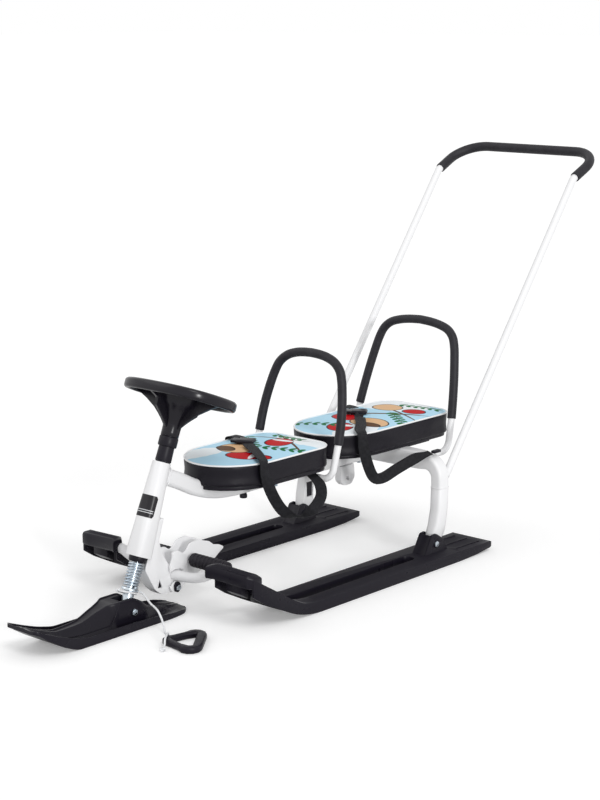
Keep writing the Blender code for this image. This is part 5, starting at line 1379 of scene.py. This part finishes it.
def swollen(name, mesh, bottom, rim):
    """The cushion's skin after a little air is blown in; seams and base stay held."""
    pad = put_in(name, mesh)
    grid = pad.modifiers.new("grid", "REMESH")
    grid.mode = "VOXEL"
    grid.voxel_size = SWELL_GRID
    fine = applied_mesh(pad)
    pad.modifiers.clear()
    pad.data = fine
    held = pad.vertex_groups.new(name="held")
    for vertex in fine.vertices:
        if vertex.co.z < bottom + 0.0060 or rim - 0.0045 < vertex.co.z < rim + 0.0012:
            held.add([vertex.index], 1.0, "REPLACE")
    before = [vertex.co.copy() for vertex in fine.vertices]
    cloth = pad.modifiers.new("swell", "CLOTH")
    cloth.settings.quality = 5
    cloth.settings.mass = 0.3
    cloth.settings.tension_stiffness = 20.0
    cloth.settings.compression_stiffness = 20.0
    cloth.settings.shear_stiffness = 10.0
    cloth.settings.bending_stiffness = 4.0
    cloth.settings.use_pressure = True
    cloth.settings.uniform_pressure_force = SWELL_PRESSURE
    cloth.settings.vertex_group_mass = "held"
    cloth.settings.effector_weights.gravity = 0.0
    cloth.collision_settings.use_collision = False
    cloth.point_cache.frame_start = 1
    cloth.point_cache.frame_end = SWELL_FRAMES
    for number in range(1, SWELL_FRAMES + 1):
        bpy.context.scene.frame_set(number)
    settled = pad.evaluated_get(bpy.context.evaluated_depsgraph_get()).to_mesh()
    after = [vertex.co.copy() for vertex in settled.vertices]
    pad.modifiers.clear()
    bpy.context.scene.frame_set(1)
    moves = []
    for start, end in zip(before, after):
        move = end - start
        if move.length > SWELL_LIMIT:
            move *= SWELL_LIMIT / move.length
        moves.append(start + move)
    made = bpy.data.meshes.new(name)
    made.from_pydata(moves, [], [tuple(face.vertices) for face in fine.polygons])
    bpy.data.objects.remove(pad, do_unlink=True)
    smooth = put_in(name, made)
    finer = smooth.modifiers.new("finer", "SUBSURF")
    finer.levels = 1
    finer.render_levels = 1
    result = applied_mesh(smooth)
    bpy.data.objects.remove(smooth, do_unlink=True)
    return result


for word, seat in SEATS.items():
    top, bottom = seat["top"], seat["bottom"]
    rim = top - 0.0025
    middle = at((seat["front"] + seat["rear"]) / 2.0, 0.0, top)

    def seat_ring(inset, height):
        """The seat's outline at a height, drawn in by an inset."""
        return [at(s, y, height) for s, y in seat_outline(seat["front"], seat["rear"], SEAT_HALF,
                                                          seat["nose"], SEAT_CORNER, inset)]

    rings = [seat_ring(*row) for row in (
        (0.0100, bottom), (0.0030, bottom), (0.0008, bottom + 0.0012),
        (0.0002, bottom + 0.0040), (0.0014, bottom + 0.0120), (0.0024, bottom + 0.0200),
        (0.0020, bottom + 0.0280), (0.0008, rim - 0.0060), (0.0003, rim - 0.0022),
        (0.0009, rim - 0.0006), (0.0040, rim), (0.0080, rim + 0.0008), (0.0140, rim + 0.0018),
        (0.0250, rim + 0.0030), (0.0450, rim + 0.0042), (0.0700, rim + 0.0048),
        (0.1020, rim + 0.0050))]
    pad = lofted("cushion_side_" + word, rings, vinyl, "chassis",
                 replaces=("seat_pad_" + word,), slot="vinyl", sharp=60.0)
    blown = swollen("cushion_blown_" + word, pad.data.copy(), bottom, rim)
    blown.materials.clear()
    blown.materials.append(vinyl)
    blown.shade_smooth()
    pad.data = blown

    # The printed sheet lies on the cushion as it has settled, and ends under the piping.
    surface = surface_of(pad)
    printed = finish_of("printed_vinyl_" + word, (0.56, 0.78, 0.90), 0.42, specular=0.02)
    print_on(printed, middle, PRINTS[word])
    bump_with(printed, object_noise(printed, 420.0, 4.0), 0.15, 0.0005)
    layers = [seat_ring(0.0034, rim - 0.0030)]
    for inset in [0.0036] + [0.0062 + 0.0064 * i for i in range(16)]:
        layer = []
        for point in seat_ring(min(inset, 0.1020), 1.0):
            hit = surface.ray_cast(point, Vector((0.0, 0.0, -1.0)))[0]
            layer.append(Vector((point.x, point.y, max(hit.z, rim - 0.0005) + 0.0005)))
        layers.append(layer)
    panel = lofted("cushion_top_" + word, layers, printed, "chassis", slot="vinyl", sharp=60.0)

    pipe("cushion_piping_" + word, seat_ring(0.0022, rim + 0.0006), 0.0020, piping, "chassis",
         sides=12, closed=True, slot="vinyl")
    refined("seat_board_" + word, "cushion_board_" + word, plastic, "chassis",
            0.0010, 2, 40.0)


# A bent bracket and a rail of black-coated steel stand between the rear seat's board
# and the backbone, and lift the rear seat a few millimetres.

coated_black = finish_of("black_coat", (0.009, 0.009, 0.011), 0.40, specular=0.3)
bump_with(coated_black, object_noise(coated_black, 500.0, 2.0), 0.10, 0.0004)
refined("rear_seat_bracket", "seat_spacer", coated_black, "chassis", 0.0006, 2)
refined("rear_seat_rail", "seat_rail", coated_black, "chassis", 0.0008, 2)


# A ribbed hand knob and two hexagon screws hold the seats up through the backbone.
# The knob is black plastic, and the screws are zinc-plated.

def standing(name, station, profile, material, node, slot, sides, ribs=0):
    """A turned or ribbed piece on an upright axis under a seat."""
    rings = []
    for radius, height in profile:
        line = []
        for i in range(sides):
            angle = 2.0 * math.pi * i / sides
            here = radius
            if ribs and radius > 0.0065:
                here -= 0.0006 * (0.5 - 0.5 * math.cos(ribs * angle))
            line.append(at(station + here * math.cos(angle), here * math.sin(angle), height))
        rings.append(line)
    lofted(name, rings, material, "chassis", replaces=(node,), slot=slot, sharp=28.0)


standing("hand_knob", -0.113, [(0.0052, 0.1955), (0.0075, 0.1960), (0.0085, 0.1974),
                               (0.0086, 0.2030), (0.0080, 0.2042), (0.0070, 0.2067),
                               (0.0030, 0.2067), (0.0030, 0.2495)], plastic, "seat_knob",
         "black_plastic", 72, 12)
for name, station, top in (("seat_bolt_front", -0.215, 0.2495), ("seat_bolt_rear", -0.505, 0.2530)):
    standing("screw_" + name[10:], station, [(0.0052, 0.2025), (0.0060, 0.2031),
                                            (0.0060, 0.2067), (0.0030, 0.2067), (0.0030, top)],
             zinc, name, "steel", 6)


# Each seat has a lap belt of black polypropylene webbing with a side-release buckle.
# The near strap drops over the cushion's edge, hangs in a loop and returns below.

TWILL_PITCH = 0.0014

webbing_cloth = finish_of("woven_webbing", (0.010, 0.010, 0.012), 0.7, specular=0.2)
twill = waves_along(webbing_cloth, ((55.0, 0.5 / TWILL_PITCH), (90.0, 0.25 / TWILL_PITCH)), "ADD")
bump_with(webbing_cloth, twill, 0.6, 0.0003)
tint_between(webbing_cloth, object_noise(webbing_cloth, 120.0), (0.008, 0.008, 0.010),
             (0.015, 0.015, 0.018))


def way(station, left, height):
    """A direction from its shares ahead, to the left and up."""
    return Vector((left, -station, height)).normalized()


HANGS_TOWARDS = Vector((0.65, -0.73, 0.20)).normalized()
HANGS_BELOW = 0.272
TURNS_OVER = 0.045
TURNS_BACK = 0.060
STRAP_THICK = 0.0016
STRAP_WIDTH = 0.025


def strap(name, route, widths, node, hangs=None):
    """A flat strap along a route; where it hangs free it turns its face outward.

    A smaller hangs lets a strap turn outward where it runs more level, too.
    """
    path = smooth_path(route, 0.0045)
    directions = smooth_path(widths, 10.0)
    section = [(-0.5, -0.5), (-0.46, -0.62), (-0.2, -0.5), (0.0, -0.5), (0.2, -0.5),
               (0.46, -0.62), (0.5, -0.5), (0.5, 0.5), (0.46, 0.62), (0.2, 0.5), (0.0, 0.5),
               (-0.2, 0.5), (-0.46, 0.62), (-0.5, 0.5)]
    rings = []
    travelled = [0.0]
    for i, point in enumerate(path):
        share = i / (len(path) - 1) * (len(directions) - 1)
        k = min(int(share), len(directions) - 2)
        hint = directions[k].lerp(directions[k + 1], share - k)
        tangent = (path[min(i + 1, len(path) - 1)] - path[max(i - 1, 0)]).normalized()
        across = (hint - tangent * hint.dot(tangent)).normalized()
        if hangs is not None and i:
            turned_out = HANGS_TOWARDS.cross(tangent).normalized()
            if turned_out.dot(last_across) < 0.0:
                turned_out.negate()
            if across.dot(last_across) < 0.0:
                across.negate()
            left_over = (path[-1] - point).length
            share = min(1.0, max(0.0, (HANGS_BELOW - point.z) / TURNS_OVER))
            share = min(share, left_over / TURNS_BACK) * min(1.0, 1.3 * abs(tangent.z)) ** hangs
            share = share * share * (3.0 - 2.0 * share)
            across = across.lerp(turned_out, share)
            across = (across - tangent * across.dot(tangent)).normalized()
        last_across = across
        rings.append(ring_on((point, across, tangent.cross(across)),
                             [(a * STRAP_WIDTH, b * STRAP_THICK) for a, b in section]))
        if i:
            travelled.append(travelled[-1] + (point - path[i - 1]).length)
    piece = lofted(name, rings, webbing_cloth, "chassis", replaces=(node,), slot="webbing",
                   sharp=50.0)
    layer = piece.data.uv_layers.new(name="along")
    count = len(section)
    for face in piece.data.polygons:
        for loop_index in face.loop_indices:
            spot = piece.data.loops[loop_index].vertex_index
            row = min(spot // count, len(travelled) - 1)
            layer.data[loop_index].uv = (section[spot % count][0] * STRAP_WIDTH, travelled[row])


strap("lap_belt_front_near",
      [at(-0.138, -0.010, 0.3105), at(-0.100, 0.050, 0.3100), at(-0.074, 0.088, 0.3080),
       at(-0.064, 0.1040, 0.3055), at(-0.060, 0.1105, 0.298), at(-0.064, 0.1120, 0.270),
       at(-0.082, 0.117, 0.225), at(-0.112, 0.121, 0.186), at(-0.158, 0.123, 0.164),
       at(-0.200, 0.123, 0.172), at(-0.230, 0.122, 0.196), at(-0.242, 0.108, 0.220),
       at(-0.244, 0.080, 0.2385)],
      [way(1, 0.5, 0), way(1, 0.4, 0), way(1, 0, 0.1), way(1, 0, 0.3), way(0.8, -0.5, 0.5),
       way(0.3, 1.0, 0.2), way(0.2, 1.0, 0.1), way(-0.8, 0.5, 0.1), way(-1, 0, 0.2),
       way(-1, 0, 0.1)], "belt_front_near", hangs=1.5)
strap("lap_belt_front_far",
      [at(-0.172, -0.0660, 0.3100), at(-0.180, -0.0900, 0.3080), at(-0.183, -0.1040, 0.3055),
       at(-0.185, -0.1105, 0.2980), at(-0.190, -0.1120, 0.270), at(-0.200, -0.1120, 0.240)],
      [way(1, -0.2, 0), way(1, -0.1, 0), way(1, 0, 0), way(1, 0, 0.1)], "belt_front_far")
strap("lap_belt_rear_near",
      [at(-0.506, 0.000, 0.3155), at(-0.440, 0.060, 0.3145), at(-0.400, 0.090, 0.3130),
       at(-0.389, 0.1040, 0.3105), at(-0.385, 0.1105, 0.303), at(-0.388, 0.1120, 0.275),
       at(-0.396, 0.118, 0.235), at(-0.408, 0.126, 0.206), at(-0.430, 0.134, 0.203),
       at(-0.465, 0.148, 0.220), at(-0.505, 0.168, 0.240), at(-0.538, 0.184, 0.2495)],
      [way(0.7, 0.7, 0), way(0.8, 0.5, 0), way(1, 0.1, 0.1), way(1, 0.0, 0.0),
       way(1, -0.2, 0), way(0.8, -0.6, 0.2), way(0.6, -0.6, 0.6), way(0.4, -0.8, 0.4),
       way(0.3, -1.0, 0.2), way(0.3, -1.0, 0.0), way(0.3, -1.0, -0.1)],
      "belt_rear_near", hangs=0.15)
strap("lap_belt_rear_far",
      [at(-0.560, -0.0620, 0.3150), at(-0.572, -0.0900, 0.3130), at(-0.577, -0.1040, 0.3105),
       at(-0.580, -0.1105, 0.3030), at(-0.585, -0.1120, 0.275), at(-0.592, -0.1120, 0.2535)],
      [way(1, -0.3, 0), way(1, -0.1, 0), way(1, 0, 0), way(1, 0, 0.1)], "belt_rear_far")
refined("belt_clip", "strap_clip", plastic, "chassis", 0.0005, 2)
refined("buckle_front", "side_buckle_front", plastic, "chassis", 0.0007, 2)
refined("buckle_rear", "side_buckle_rear", plastic, "chassis", 0.0007, 2)
